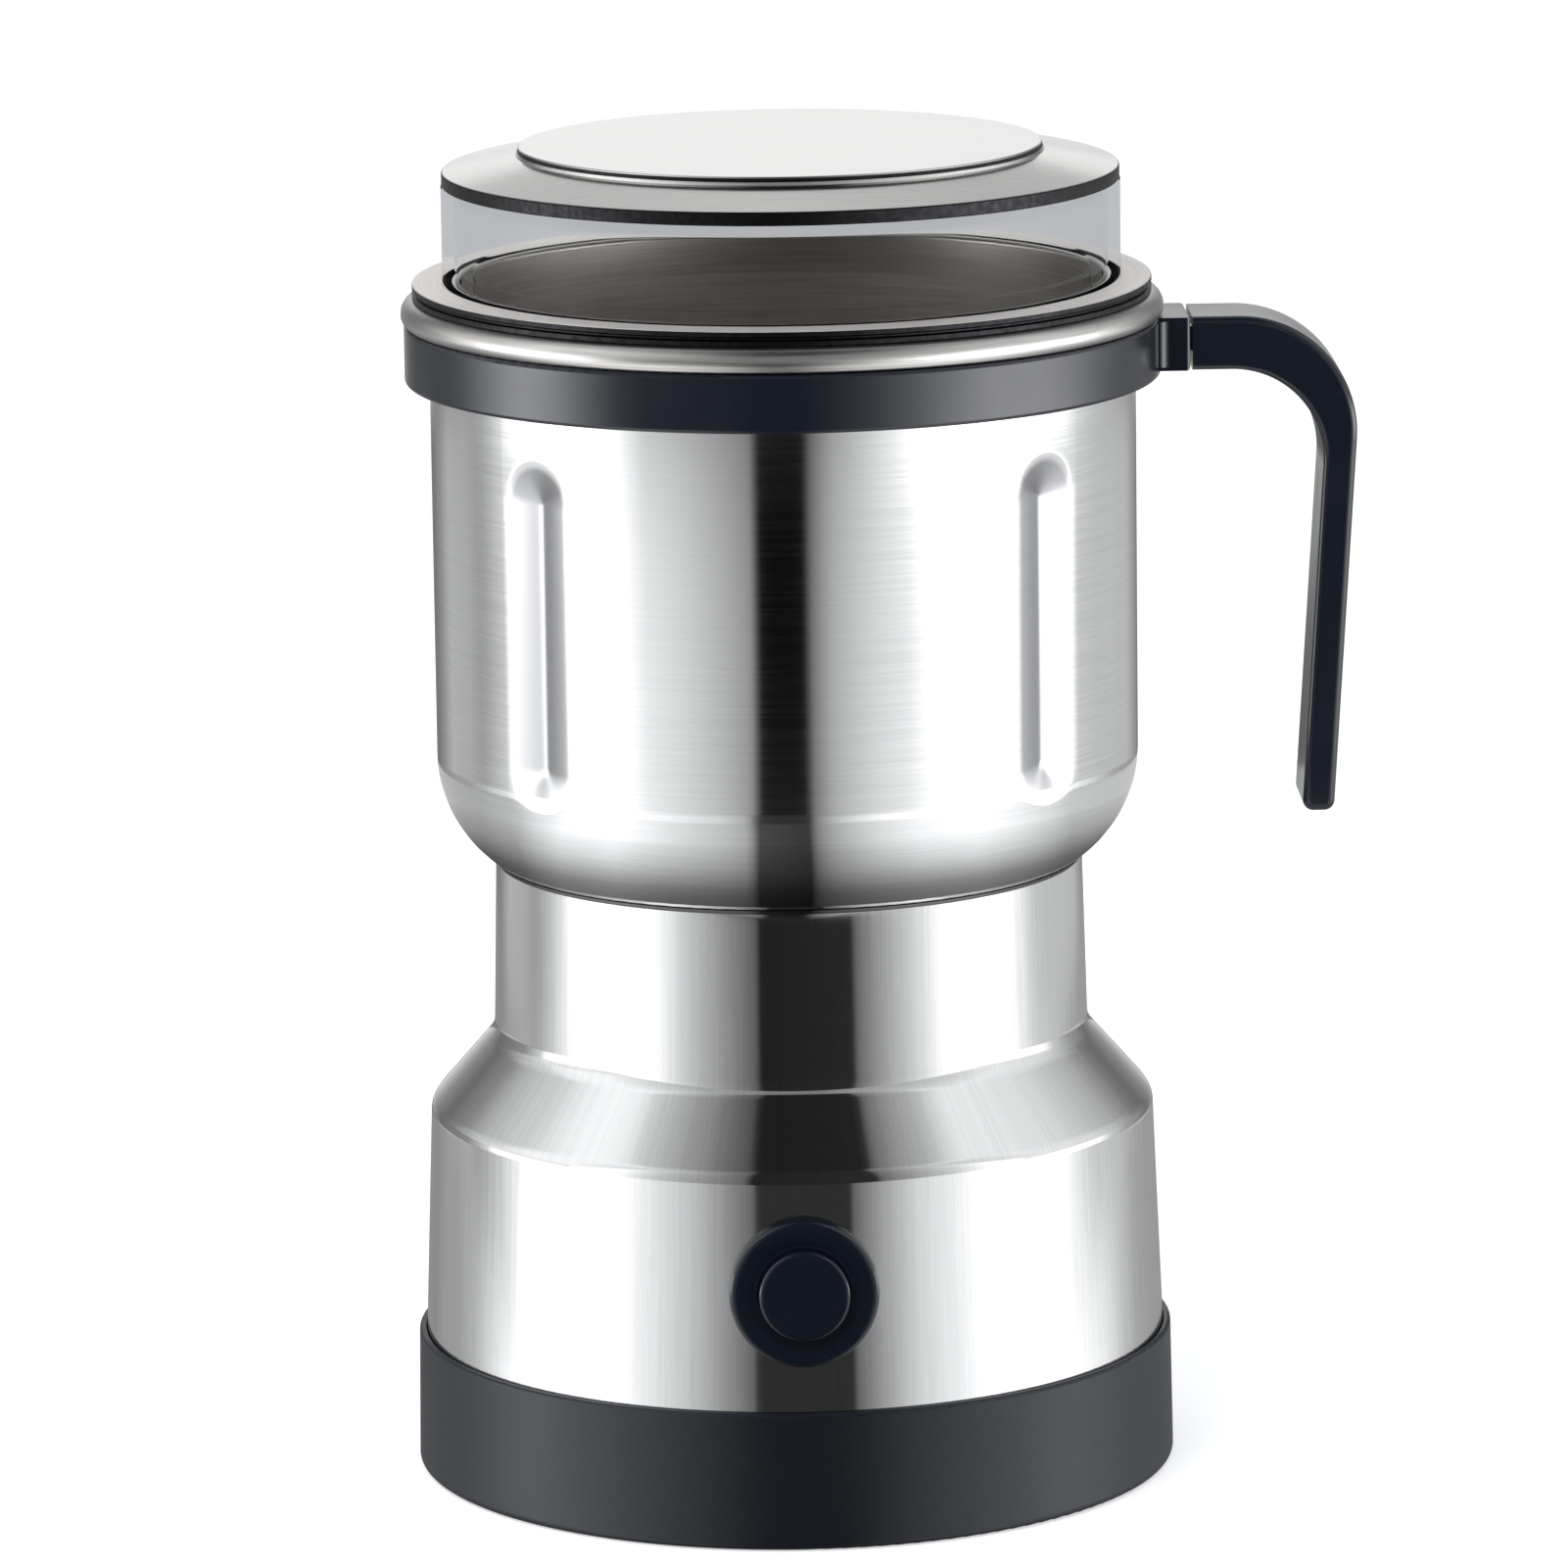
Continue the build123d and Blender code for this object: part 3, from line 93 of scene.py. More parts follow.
class Brushing(Enum):
    """The way in which the belt or tool ran, as how fast its marks change.

    For the turned ways the three numbers are the pace round the axis, twice, and along the outline; for the
    others they are the pace along x, y and z.
    """

    AROUND = (0.02, 0.02, 1.0)
    UPRIGHT = (1.0, 1.0, 0.02)
    STRAIGHT = (0.02, 1.0, 1.0)
    EVEN = (1.0, 1.0, 1.001)

    def marks_vector(self, tree: Tree) -> bpy.types.Node:
        """Coordinates in which even noise becomes this way's marks.

        The turned ways use the direction from the axis as a unit vector, times a nominal radius, and the sum of
        the distance from the axis and the height.

        Args:
            tree: the material's tree.

        Returns:
            The node that gives the vector.
        """
        place = add_node(tree, "TexCoord").outputs["Object"]
        if self not in (Brushing.AROUND, Brushing.UPRIGHT):
            return add_node(tree, "Mapping", {"Vector": place, "Scale": self.value})
        flat = add_node(tree, "VectorMath", {0: place, 1: (1.0, 1.0, 0.0)}, operation="MULTIPLY")
        away = add_node(tree, "VectorMath", {0: flat}, operation="LENGTH").outputs["Value"]
        facing = add_node(tree, "VectorMath", {0: flat}, operation="NORMALIZE")
        height = add_node(tree, "SeparateXYZ", {0: place}).outputs[2]
        outline = add_node(tree, "Math", {0: away, 1: height}, operation="ADD")
        along = add_node(tree, "Math", {0: outline, 1: self.value[2]}, operation="MULTIPLY")
        raised = add_node(tree, "CombineXYZ", {2: along})
        pace = (self.value[0] * NOMINAL_RADIUS, self.value[1] * NOMINAL_RADIUS, 0.0)
        return add_node(tree, "VectorMath", {0: facing, 1: pace, 2: raised}, operation="MULTIPLY_ADD")


# Nodes and colours
def linear(code: str) -> Colour:
    """Turns an sRGB hex colour into Blender's linear one, by the sRGB curve's two parts.

    Args:
        code: six hex digits.

    Returns:
        Linear red, green and blue, and an alpha of 1.
    """
    values = [int(code[i:i + 2], 16) / 255 for i in (0, 2, 4)]
    parts = [v / 12.92 if v <= 0.04045 else ((v + 0.055) / 1.055) ** 2.4 for v in values]
    return (*parts, 1.0)


def add_node(tree: Tree, kind: str, inputs: Inputs | None = None, **settings: object) -> bpy.types.Node:
    """Adds one shader node, sets its properties and fills its inputs.

    Args:
        tree: the node tree.
        kind: the node's type name, without the words that all shader nodes share.
        inputs: a value, an output to link, or a node whose first output is linked, for each input.
        settings: the node's own properties.

    Returns:
        The new node.
    """
    node = tree.nodes.new("ShaderNode" + kind)
    for name, value in settings.items():
        setattr(node, name, value)
    for key, value in (inputs or {}).items():
        if isinstance(value, bpy.types.Node):
            value = value.outputs[0]
        if isinstance(value, bpy.types.NodeSocket):
            tree.links.new(value, node.inputs[key])
        else:
            node.inputs[key].default_value = value
    return node


def set_ramp(node: bpy.types.Node, stops: Sequence[tuple[float, Colour]]) -> bpy.types.Node:
    """Puts the stops into a colour ramp node.

    Args:
        node: the colour ramp.
        stops: the place, from 0 to 1, and the linear colour of each stop, in order.

    Returns:
        The same node.
    """
    elements = node.color_ramp.elements
    while len(elements) > 1:
        elements.remove(elements[-1])
    elements[0].position = stops[0][0]
    elements[0].color = stops[0][1]
    for place, colour in stops[1:]:
        elements.new(place).color = colour
    return node


def grey(value: float) -> Colour:
    """A neutral linear colour of that value."""
    return (value, value, value, 1.0)


def start_material(name: str) -> tuple[Material, Tree]:
    """An empty node material and its tree.

    Args:
        name: the material's name.

    Returns:
        The material and its tree.
    """
    material = bpy.data.materials.new(name)
    material.use_nodes = True
    material.node_tree.nodes.clear()
    return material, material.node_tree


# Finishes
@dataclass(frozen=True)
class Finish(ABC):
    """What every finish has: a name, and one principled shader that its textures feed."""

    name: str

    @abstractmethod
    def inputs(self, tree: Tree) -> Inputs:
        """Adds the finish's textures.

        Args:
            tree: the material's tree.

        Returns:
            The inputs of the principled shader.
        """

    def build(self) -> Material:
        """Makes the material, with its textures first.

        Returns:
            The material.
        """
        material, tree = start_material(self.name)
        shader = add_node(tree, "BsdfPrincipled", self.inputs(tree))
        add_node(tree, "OutputMaterial", {"Surface": shader})
        return material


@dataclass(frozen=True)
class BrushedSteel(Finish):
    """Stainless sheet drawn under an abrasive belt: fine parallel scratches, mirror-like across the sheet's bends."""

    brushing: Brushing
    colour: str = "d2d3d4"
    streak_colour: str = "c5c6c7"
    streak_pitch: float = 0.35   # real scratches are near 0.1 mm, too fine to show, so they are drawn wider
    roughness: float = 0.065
    roughness_spread: float = 0.035
    wear: float = 0.02
    wear_size: float = 24.0
    scratch_depth: float = 0.0004
    # painted shade: the colour that the grooves darken towards, by the pressed attribute
    painted_groove_shade_colour: str = "9b9c9e"
    pressed_blur: float = 0.12
    satin: float = 0.0           # share of the light that a finely blasted face scatters evenly

    def inputs(self, tree: Tree) -> Inputs:
        """One stretched noise drives tint, roughness and scratch depth; in the pressed grooves the colour is darkened
        as painted shade and the roughness rises.

        Args:
            tree: the material's tree.

        Returns:
            The inputs of the principled shader.
        """
        place = add_node(tree, "TexCoord").outputs["Object"]
        # The pressed attribute, set on the cup sleeve, darkens the grooves towards the painted shade colour and
        # raises their roughness.
        pressed = add_node(tree, "Attribute", attribute_name="pressed").outputs["Fac"]
        streaks = add_node(tree, "TexNoise", {"Vector": self.brushing.marks_vector(tree), "Detail": 3.0,
                                              "Scale": 1 / (self.streak_pitch * MM), "Roughness": 0.55})
        cloud = add_node(tree, "TexNoise", {"Vector": place, "Scale": 1 / (self.wear_size * MM), "Detail": 2.0})
        tint = set_ramp(add_node(tree, "ValToRGB", {"Fac": streaks}),
                        [(0.3, linear(self.streak_colour)), (0.7, linear(self.colour))])
        groove_shaded_tint = add_node(tree, "Mix", {"Factor": pressed, 6: tint, 7: linear(self.painted_groove_shade_colour)},
                          data_type="RGBA").outputs[2]
        rough = add_node(tree, "MapRange", {"Value": streaks, "To Min": self.roughness,
                                            "To Max": self.roughness + self.roughness_spread, **NOISE_RANGE})
        worn = add_node(tree, "Math", {0: cloud, 1: self.wear, 2: rough}, operation="MULTIPLY_ADD")
        blurred = add_node(tree, "Math", {0: pressed, 1: self.pressed_blur, 2: worn}, operation="MULTIPLY_ADD")
        scratches = add_node(tree, "Bump", {"Strength": 1.0, "Distance": self.scratch_depth * MM, "Height": streaks})
        return {"Base Color": groove_shaded_tint, "Metallic": 1.0 - self.satin, "Roughness": blurred, "Normal": scratches}


@dataclass(frozen=True)
class MouldedPlastic(Finish):
    """Injection-moulded plastic: an even colour under a fine spark-eroded grain that spreads its sheen."""

    colour: str
    grain_colour: str
    roughness: float = 0.4
    polished_by: float = 0.04
    worn_by: float = 0.05
    grain: float = 0.35          # real grain is near 0.1 mm and is drawn coarser so that it shows
    grain_depth: float = 0.003
    handling_size: float = 18.0
    sheen_level: float = 0.5
    ior: float = 1.53
    draft: float = 0.0           # degrees that upright faces lean back

    def inputs(self, tree: Tree) -> Inputs:
        """Fine noise makes the grain and broad noise the handling marks; the draft is an even slope of the relief.

        Args:
            tree: the material's tree.

        Returns:
            The inputs of the principled shader.
        """
        place = add_node(tree, "TexCoord").outputs["Object"]
        fine = {"Vector": place, "Scale": 1 / (self.grain * MM), "Detail": 3.0, "Roughness": 0.6}
        grain = add_node(tree, "TexNoise", fine)
        handled = add_node(tree, "TexNoise", {"Vector": place, "Scale": 1 / (self.handling_size * MM), "Detail": 4.0})
        tint = set_ramp(add_node(tree, "ValToRGB", {"Fac": grain}),
                        [(0.35, linear(self.grain_colour)), (0.65, linear(self.colour))])
        rough = add_node(tree, "MapRange", {"Value": handled, "To Min": self.roughness - self.polished_by,
                                            "To Max": self.roughness + self.worn_by, **NOISE_RANGE})
        height = add_node(tree, "SeparateXYZ", {0: place}).outputs[2]
        recess = add_node(tree, "Math", {0: height, 1: -math.tan(math.radians(self.draft))}, operation="MULTIPLY")
        leaning = add_node(tree, "Bump", {"Strength": 1.0, "Distance": 1.0, "Height": recess})
        dimples = add_node(tree, "Bump", {"Strength": 1.0, "Distance": self.grain_depth * MM, "Height": grain,
                                          "Normal": leaning})
        return {"Base Color": tint, "Roughness": rough, "IOR": self.ior, "Specular IOR Level": self.sheen_level,
                "Normal": dimples}


@dataclass(frozen=True)
class ClearPlastic(Finish):
    """Clear acrylonitrile styrene, polished in the mould: nearly colourless, with the faintest flow marks."""

    colour: str = "f8f8f8"
    roughness: float = 0.015
    ior: float = 1.005           # solid styrene has 1.57; here the gloss is a coat, and the thin wall hardly bends
    gloss: float = 0.05
    gloss_roughness: float = 0.02
    flow_size: float = 6.0
    flow_stretch: float = 10.0
    flow_depth: float = 0.01
    flow_roughness: float = 0.03

    def inputs(self, tree: Tree) -> Inputs:
        """A refracting body whose gloss varies a little along the melt's flow.

        Args:
            tree: the material's tree.

        Returns:
            The inputs of the principled shader.
        """
        place = add_node(tree, "TexCoord").outputs["Object"]
        upright = add_node(tree, "Mapping", {"Vector": place, "Scale": (1.0, 1.0, 1 / self.flow_stretch)})
        flow = add_node(tree, "TexNoise", {"Vector": upright, "Scale": 1 / (self.flow_size * MM), "Detail": 2.0})
        rough = add_node(tree, "MapRange", {"Value": flow, "To Min": self.roughness,
                                            "To Max": self.roughness + self.flow_roughness, **NOISE_RANGE})
        ripple = add_node(tree, "Bump", {"Strength": 1.0, "Distance": self.flow_depth * MM, "Height": flow})
        return {"Base Color": linear(self.colour), "Roughness": rough, "IOR": self.ior, "Transmission Weight": 1.0,
                "Coat Weight": self.gloss, "Coat Roughness": self.gloss_roughness, "Normal": ripple}


@dataclass(frozen=True)
class MadeMetal(Finish):
    """Plain machined, plated, sintered or stamped metal: two tones, a tooth and a roughness that varies with them."""

    colour: str
    dark: str
    roughness: float
    tooth: float = 0.5
    tooth_depth: float = 0.01
    polished_by: float = 0.04
    worn_by: float = 0.08
    direction: Brushing = Brushing.EVEN
    metallic: float = 1.0

    def inputs(self, tree: Tree) -> Inputs:
        """Noise along the tool's path gives tone, roughness and relief.

        Args:
            tree: the material's tree.

        Returns:
            The inputs of the principled shader.
        """
        marks = add_node(tree, "TexNoise", {"Vector": self.direction.marks_vector(tree), "Detail": 5.0,
                                            "Scale": 1 / (self.tooth * MM), "Roughness": 0.6})
        tint = set_ramp(add_node(tree, "ValToRGB", {"Fac": marks}),
                        [(0.3, linear(self.dark)), (0.68, linear(self.colour))])
        rough = add_node(tree, "MapRange", {"Value": marks, "To Min": self.roughness + self.worn_by,
                                            "To Max": self.roughness - self.polished_by, **NOISE_RANGE})
        relief = add_node(tree, "Bump", {"Strength": 1.0, "Distance": self.tooth_depth * MM, "Height": marks})
        return {"Base Color": tint, "Metallic": self.metallic, "Roughness": rough, "Normal": relief}


@dataclass(frozen=True)
class Layered(Finish):
    """Something made of many equal layers or turns: stacked laminations, or wire wound side by side."""

    colour: str
    groove_colour: str
    pitch: float
    roughness: float
    metallic: float
    groove_share: float = 0.08   # depth of a gap, as a share of the pitch

    def inputs(self, tree: Tree) -> Inputs:
        """An upright sine wave of the layers' pitch makes the gaps.

        Args:
            tree: the material's tree.

        Returns:
            The inputs of the principled shader.
        """
        place = add_node(tree, "TexCoord").outputs["Object"]
        wave = {"Vector": place, "Scale": math.pi / (10 * self.pitch * MM), "Distortion": 0.4, "Detail": 1.0}
        layers = add_node(tree, "TexWave", wave, wave_type="BANDS", bands_direction="Z").outputs["Fac"]
        tint = set_ramp(add_node(tree, "ValToRGB", {"Fac": layers}),
                        [(0.1, linear(self.groove_colour)), (0.6, linear(self.colour))])
        depth = self.groove_share * self.pitch * MM
        edges = add_node(tree, "Bump", {"Strength": 1.0, "Distance": depth, "Height": layers})
        return {"Base Color": tint, "Metallic": self.metallic, "Roughness": self.roughness, "Normal": edges}


# Drawn and belt-brushed round: upright bands of light and dark, soft only across the marks.
CUP_STEEL = BrushedSteel(
    "stainless_steel_brushed_around", Brushing.AROUND, streak_colour="cacbcc", roughness_spread=0.022,
    scratch_depth=0.0002,
)
# Brushed upright: the surroundings draw out into long upright streaks.
HOUSING_STEEL = BrushedSteel(
    "stainless_steel_brushed_upright", Brushing.UPRIGHT, streak_colour="cacbcc", streak_pitch=0.45,
    roughness_spread=0.02, scratch_depth=0.0001,
)
# Rolled over without polish: a greyer, duller ring.
RIM_STEEL = BrushedSteel(
    "stainless_steel_rolled", Brushing.AROUND, colour="c6c5c3", streak_colour="aaa9a8", roughness=0.26, wear=0.08
)
# Spun and finely blasted: pale, with a broad soft shine.
BOWL_STEEL = BrushedSteel(
    "stainless_steel_spun", Brushing.AROUND, colour="e6e2de", streak_colour="d0ccc8", roughness=0.28, wear=0.05,
    satin=0.45,
)
# Brushed straight across: a pale satin top whose shine follows the marks.
CAP_STEEL = BrushedSteel("stainless_steel_brushed_straight", Brushing.STRAIGHT, colour="d6d3cf", roughness=0.12)
# A near-black steel for painted shade: the thin dark line along the bowl flange's side and the cap's lip and step.
PAINTED_SHADE_STEEL = MadeMetal("steel_edge_painted_shade", "2b2b2d", "1c1c1e", 0.36, tooth=0.9)
# Moulded in a fairly polished tool: nearly black with a blue cast, and clear highlights.
NAVY_ABS = MouldedPlastic("abs_navy_black_moulded", "111824", "0e141f", roughness=0.2, sheen_level=0.42, draft=1.5)
# The same plastic from an eroded tool: greyer, with a soft sheen.
SATIN_ABS = MouldedPlastic("abs_navy_black_satin_moulded", "171c24", "13171e", roughness=0.4, sheen_level=0.35)
# Moulded in a polished tool: clear, with a thin gloss.
CLEAR_LID = ClearPlastic("styrene_acrylonitrile_clear_moulded")
# Moulded rubber: matt black, with hardly a highlight.
FOOT_RUBBER = MouldedPlastic(
    "rubber_black_moulded", "1d1d1f", "141415", roughness=0.75, grain=0.6, grain_depth=0.03, sheen_level=0.3
)
# Plated screws: a bright, slightly bluish grey.
ZINC_STEEL = MadeMetal("steel_zinc_plated", "b9bdc2", "8f949b", 0.28)
# Moulded case: an even warm yellow with a low sheen.
YELLOW_FILM = MouldedPlastic("polypropylene_yellow_moulded", "d9a82c", "c89a24", roughness=0.35)
# Glass-filled: charcoal, with paler fibres at the surface.
FILLED_NYLON = MouldedPlastic(
    "nylon_glass_filled_moulded", "2b2c2e", "3a3a3a", roughness=0.55, grain=0.8, grain_depth=0.02
)
# Pressed powder soaked in oil: brown, grainy and dull.
BRONZE = MadeMetal("bronze_sintered_oiled", "9c6f3e", "5f3f22", 0.38, tooth=0.4, tooth_depth=0.03)
# Stacked sheets: fine level lines of grey and dark.
LAMINATIONS = Layered("silicon_steel_laminated", "8d9198", "3c3e43", 0.9, 0.42, 1.0)
# Enamelled wire wound side by side: glossy copper-red turns with dark gaps.
MAGNET_WIRE = Layered("copper_wire_enamelled", "a5491c", "4d1c0a", 0.8, 0.3, 0.6)
# Stamped sheet: yellow, with a clean soft shine.
BRASS = MadeMetal("brass_sheet_stamped", "c9a24e", "a17c33", 0.3)
# Pressed graphite: flat black.
CARBON = MadeMetal("carbon_graphite_pressed", "2c2c2e", "19191b", 0.55, metallic=0.0)
# Drawn wire: mid grey, with a soft highlight along it.
SPRING = MadeMetal("spring_steel_drawn", "8b8e93", "6a6d72", 0.3)
# Turned stainless: neutral and fairly bright.
PLAIN_STAINLESS = MadeMetal("stainless_steel_turned", "c4c3c1", "9d9c9a", 0.24)
# Moulded resin: brownish black with paler flecks.
PHENOLIC = MouldedPlastic("phenolic_black_moulded", "26221f", "34302c", roughness=0.45, grain=0.7)
# Ground round the axis: bright, with fine rings.
GROUND_STEEL = MadeMetal("steel_ground", "b7b8ba", "9b9c9f", 0.18, direction=Brushing.AROUND)
# Turned copper: orange-pink, with rings from the tool.
BAR_COPPER = MadeMetal("copper_turned", "c77b4d", "8d4f2c", 0.3, direction=Brushing.AROUND)
# Pressed fibre: matt brick red.
FIBRE = MouldedPlastic("vulcanised_fibre_pressed", "8c4a30", "743a24", roughness=0.6, grain=0.9, grain_depth=0.02)
# Moulded nylon: off-white with a soft sheen.
WHITE_NYLON = MouldedPlastic("nylon_white_moulded", "dcdad2", "d0cec5", roughness=0.42)
# Ground blades: bright, with marks that run out from the hub.
BLADE_STEEL = MadeMetal(
    "stainless_steel_blade_ground", "bdbcba", "8e8d8b", 0.16, tooth=0.35, direction=Brushing.UPRIGHT
)

DRESSING: dict[str, Finish] = {
    "base_shell": SATIN_ABS, "collar": NAVY_ABS, "handle": NAVY_ABS, "switch_bezel": NAVY_ABS,
    "push_button": NAVY_ABS, "cord_gland": FOOT_RUBBER, "rubber_feet": FOOT_RUBBER, "shaft_seal": FOOT_RUBBER,
    "base_screws": ZINC_STEEL, "motor_bolts": ZINC_STEEL, "handle_screw": ZINC_STEEL,
    "bowl_screws": PLAIN_STAINLESS, "blade_nut": PLAIN_STAINLESS, "blade_washer": PLAIN_STAINLESS,
    "blade_spacers": PLAIN_STAINLESS, "upper_blade": BLADE_STEEL, "lower_blade": BLADE_STEEL,
    "suppression_capacitor": YELLOW_FILM, "motor_housing": HOUSING_STEEL,
    "upper_motor_frame": FILLED_NYLON, "lower_motor_bracket": FILLED_NYLON, "cooling_fan": WHITE_NYLON,
    "upper_bush": BRONZE, "lower_bush": BRONZE, "stator_core": LAMINATIONS, "armature_core": LAMINATIONS,
    "field_coils": MAGNET_WIRE, "armature_winding": MAGNET_WIRE, "brush_holders": BRASS,
    "carbon_brushes": CARBON, "brush_springs": SPRING, "switch_spring": SPRING, "motor_shaft": GROUND_STEEL,
    "commutator": BAR_COPPER, "thrust_washers": FIBRE, "switch_nut": WHITE_NYLON, "switch_body": PHENOLIC,
    "switch_terminals": BRASS, "cup_sleeve": CUP_STEEL, "grinding_bowl": BOWL_STEEL, "lid_shell": CLEAR_LID,
    "lid_cap": CAP_STEEL,
}


class Workshop:
    """Keeps each finish's material, so that pieces of one finish share it."""

    def __init__(self) -> None:
        """Starts with no material made."""
        self.made: dict[Finish, Material] = {}

    def material(self, finish: Finish) -> Material:
        """The finish's material, made the first time it is asked for.

        Args:
            finish: the finish.

        Returns:
            The material.
        """
        if finish not in self.made:
            self.made[finish] = finish.build()
        return self.made[finish]

    def dress_node(self, node: str) -> None:
        """Gives a CAD node its finish in every one of its slots.

        Args:
            node: the node's name.
        """
        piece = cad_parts[node]
        material = self.material(DRESSING[node])
        if not piece.material_slots:
            piece.data.materials.append(material)
        for place in piece.material_slots:
            place.material = material
        log.info("%s keeps its solid, in %s", node, material.name)


# Surfaces
def rounded_outline(
    corners: Sequence[Corner], closed: bool = True, steps: int = 8, chord: float = 2.0, guard: float = 0.03
) -> np.ndarray:
    """Outline whose corners are arcs tangent to both sides.

    An arc of radius a starts a over the tangent of half the corner's angle before the corner, and its centre lies
    on the corner's bisector, a over the sine of that half angle away. A guard point stands a little outside each
    end of the arc, so that flat sides are shaded flat.

    Args:
        corners: distance from the axis, height and rounding of each corner.
        closed: whether the last corner joins the first.
        steps: least number of pieces in each arc.
        chord: greatest length of a piece of an arc.
        guard: distance from an arc's end to its guard point.

    Returns:
        Points, one row each.
    """
    parts = []
    count = len(corners)
    for i, (x, z, radius) in enumerate(corners):
        here = np.array((x, z))
        if radius == 0 or (not closed and i in (0, count - 1)):
            parts.append(here[None])
            continue
        before = np.array(corners[i - 1][:2]) - here
        after = np.array(corners[(i + 1) % count][:2]) - here
        u = before / np.linalg.norm(before)
        v = after / np.linalg.norm(after)
        half = 0.5 * math.acos(float(np.clip(u @ v, -1, 1)))
        setback = radius / math.tan(half)
        middle = (u + v) / np.linalg.norm(u + v) * radius / math.sin(half)
        first = u * setback - middle
        last = v * setback - middle
        turn = math.atan2(first[0] * last[1] - first[1] * last[0], float(first @ last))
        pieces = max(steps, math.ceil(abs(turn) * radius / chord))
        angles = math.atan2(first[1], first[0]) + np.linspace(0, turn, pieces + 1)
        arc = here + middle + radius * np.stack((np.cos(angles), np.sin(angles)), axis=1)
        parts.append(np.vstack((here + u * (setback + guard), arc, here + v * (setback + guard))))
    return np.vstack(parts)


def inner_corner(before: Point, here: Point, after: Point, wall: float) -> Point:
    """Corner of a sheet's inner face, where the outer face climbs through three points.

    The corner moves inwards along the sum of both sides' outward normals, by the wall over one plus the normals'
    product.

    Args:
        before: the outer corner before it.
        here: the outer corner.
        after: the outer corner after it.
        wall: thickness of the sheet.

    Returns:
        Distance from the axis and height.
    """
    sides = np.array((here, after)) - np.array((before, here))
    normals = np.stack((sides[:, 1], -sides[:, 0]), axis=1) / np.linalg.norm(sides, axis=1)[:, None]
    moved = np.array(here) - wall * normals.sum(axis=0) / (1 + normals[0] @ normals[1])
    return float(moved[0]), float(moved[1])


def revolve(outline: np.ndarray, angles: np.ndarray) -> np.ndarray:
    """Carries an outline round the axis: x and y are its distance times the angle's cosine and sine.

    Args:
        outline: distance from the axis and height of each point.
        angles: the columns' angles in radians.

    Returns:
        Points as columns by rows by three.
    """
    x = np.cos(angles)[:, None] * outline[None, :, 0]
    y = np.sin(angles)[:, None] * outline[None, :, 0]
    z = np.broadcast_to(outline[None, :, 1], x.shape)
    return np.stack((x, y, z), axis=2)


def even_angles(columns: int) -> np.ndarray:
    """That many equal steps round the axis."""
    return np.arange(columns) * (2 * math.pi / columns)


def grid_faces(columns: int, rows: int, closed_rows: bool) -> tuple[np.ndarray, np.ndarray]:
    """Corners of the faces of a grid whose columns join round.

    Face (c, r) has its corners at columns c and c + 1 and rows r and r + 1, counted round where they join. Where
    the rows don't join, the first and last row stand for one vertex each, and their faces repeat a corner.

    Args:
        columns: number of columns.
        rows: number of rows.
        closed_rows: whether the last row joins the first.

    Returns:
        Vertex numbers as columns by bands by four, and the band's number of each face.
    """
    index = np.arange(columns * rows).reshape(columns, rows)
    if not closed_rows:
        index[:, 0] = index[0, 0]
        index[:, -1] = index[0, -1]
    here = np.arange(rows if closed_rows else rows - 1)
    above = (here + 1) % rows
    right = np.roll(index, -1, axis=0)
    quads = np.stack((index[:, here], right[:, here], right[:, above], index[:, above]), axis=2)
    return quads, np.broadcast_to(here, quads.shape[:2])


def make_piece(
    name: str, points: np.ndarray, quads: np.ndarray, materials: Sequence[Material], slots: np.ndarray | None = None
) -> bpy.types.Object:
    """Puts points and quads into a mesh object that stands at the origin.

    A quad that repeats a corner becomes a triangle, and points that no face uses are left out.

    Args:
        name: the piece's name.
        points: points in millimetres, three to a row.
        quads: vertex numbers, four to a row.
        materials: the piece's material slots.
        slots: the material slot of each quad, or None for the first slot.

    Returns:
        The object.
    """
    kept = quads != np.roll(quads, 1, axis=1)
    used, corners = np.unique(quads[kept], return_inverse=True)
    sizes = kept.sum(axis=1)
    mesh = bpy.data.meshes.new(name)
    mesh.vertices.add(len(used))
    mesh.vertices.foreach_set("co", (points[used] * MM).astype(np.float32).ravel())
    mesh.loops.add(len(corners))
    mesh.loops.foreach_set("vertex_index", corners.astype(np.int32).ravel())
    mesh.polygons.add(len(sizes))
    mesh.polygons.foreach_set("loop_start", (np.cumsum(sizes) - sizes).astype(np.int32))
    if slots is not None:
        mesh.polygons.foreach_set("material_index", slots.astype(np.int32))
    for material in materials:
        mesh.materials.append(material)
    mesh.update(calc_edges=True)
    mesh.validate()
    mesh.shade_smooth()
    mesh.set_sharp_from_angle(angle=SHARP_ANGLE)
    piece = bpy.data.objects.new(name, mesh)
    bpy.context.scene.collection.objects.link(piece)
    return piece


def make_turned(
    name: str, grid: np.ndarray, materials: Sequence[Material], band_slots: np.ndarray | None = None,
    closed_rows: bool = True,
) -> bpy.types.Object:
    """Makes a piece of a whole grid.

    Args:
        name: the piece's name.
        grid: points as columns by rows by three, in millimetres.
        materials: the piece's material slots.
        band_slots: the slot of each band of faces, or None for the first slot.
        closed_rows: whether the last row joins the first.

    Returns:
        The object.
    """
    quads, bands = grid_faces(*grid.shape[:2], closed_rows)
    slots = None if band_slots is None else band_slots[bands].ravel()
    return make_piece(name, grid.reshape(-1, 3), quads.reshape(-1, 4), materials, slots)


def place_piece(piece: bpy.types.Object, body: Body, node: str) -> None:
    """Rides a new piece on its body, in place of a CAD node, and reports it.

    Args:
        piece: the new piece.
        body: what it rides on.
        node: the CAD node that it replaces.
    """
    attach(piece, body.value)
    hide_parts(node)
    log.info("%s rides on %s in place of %s, with %d faces", piece.name, body.value, node, len(piece.data.polygons))


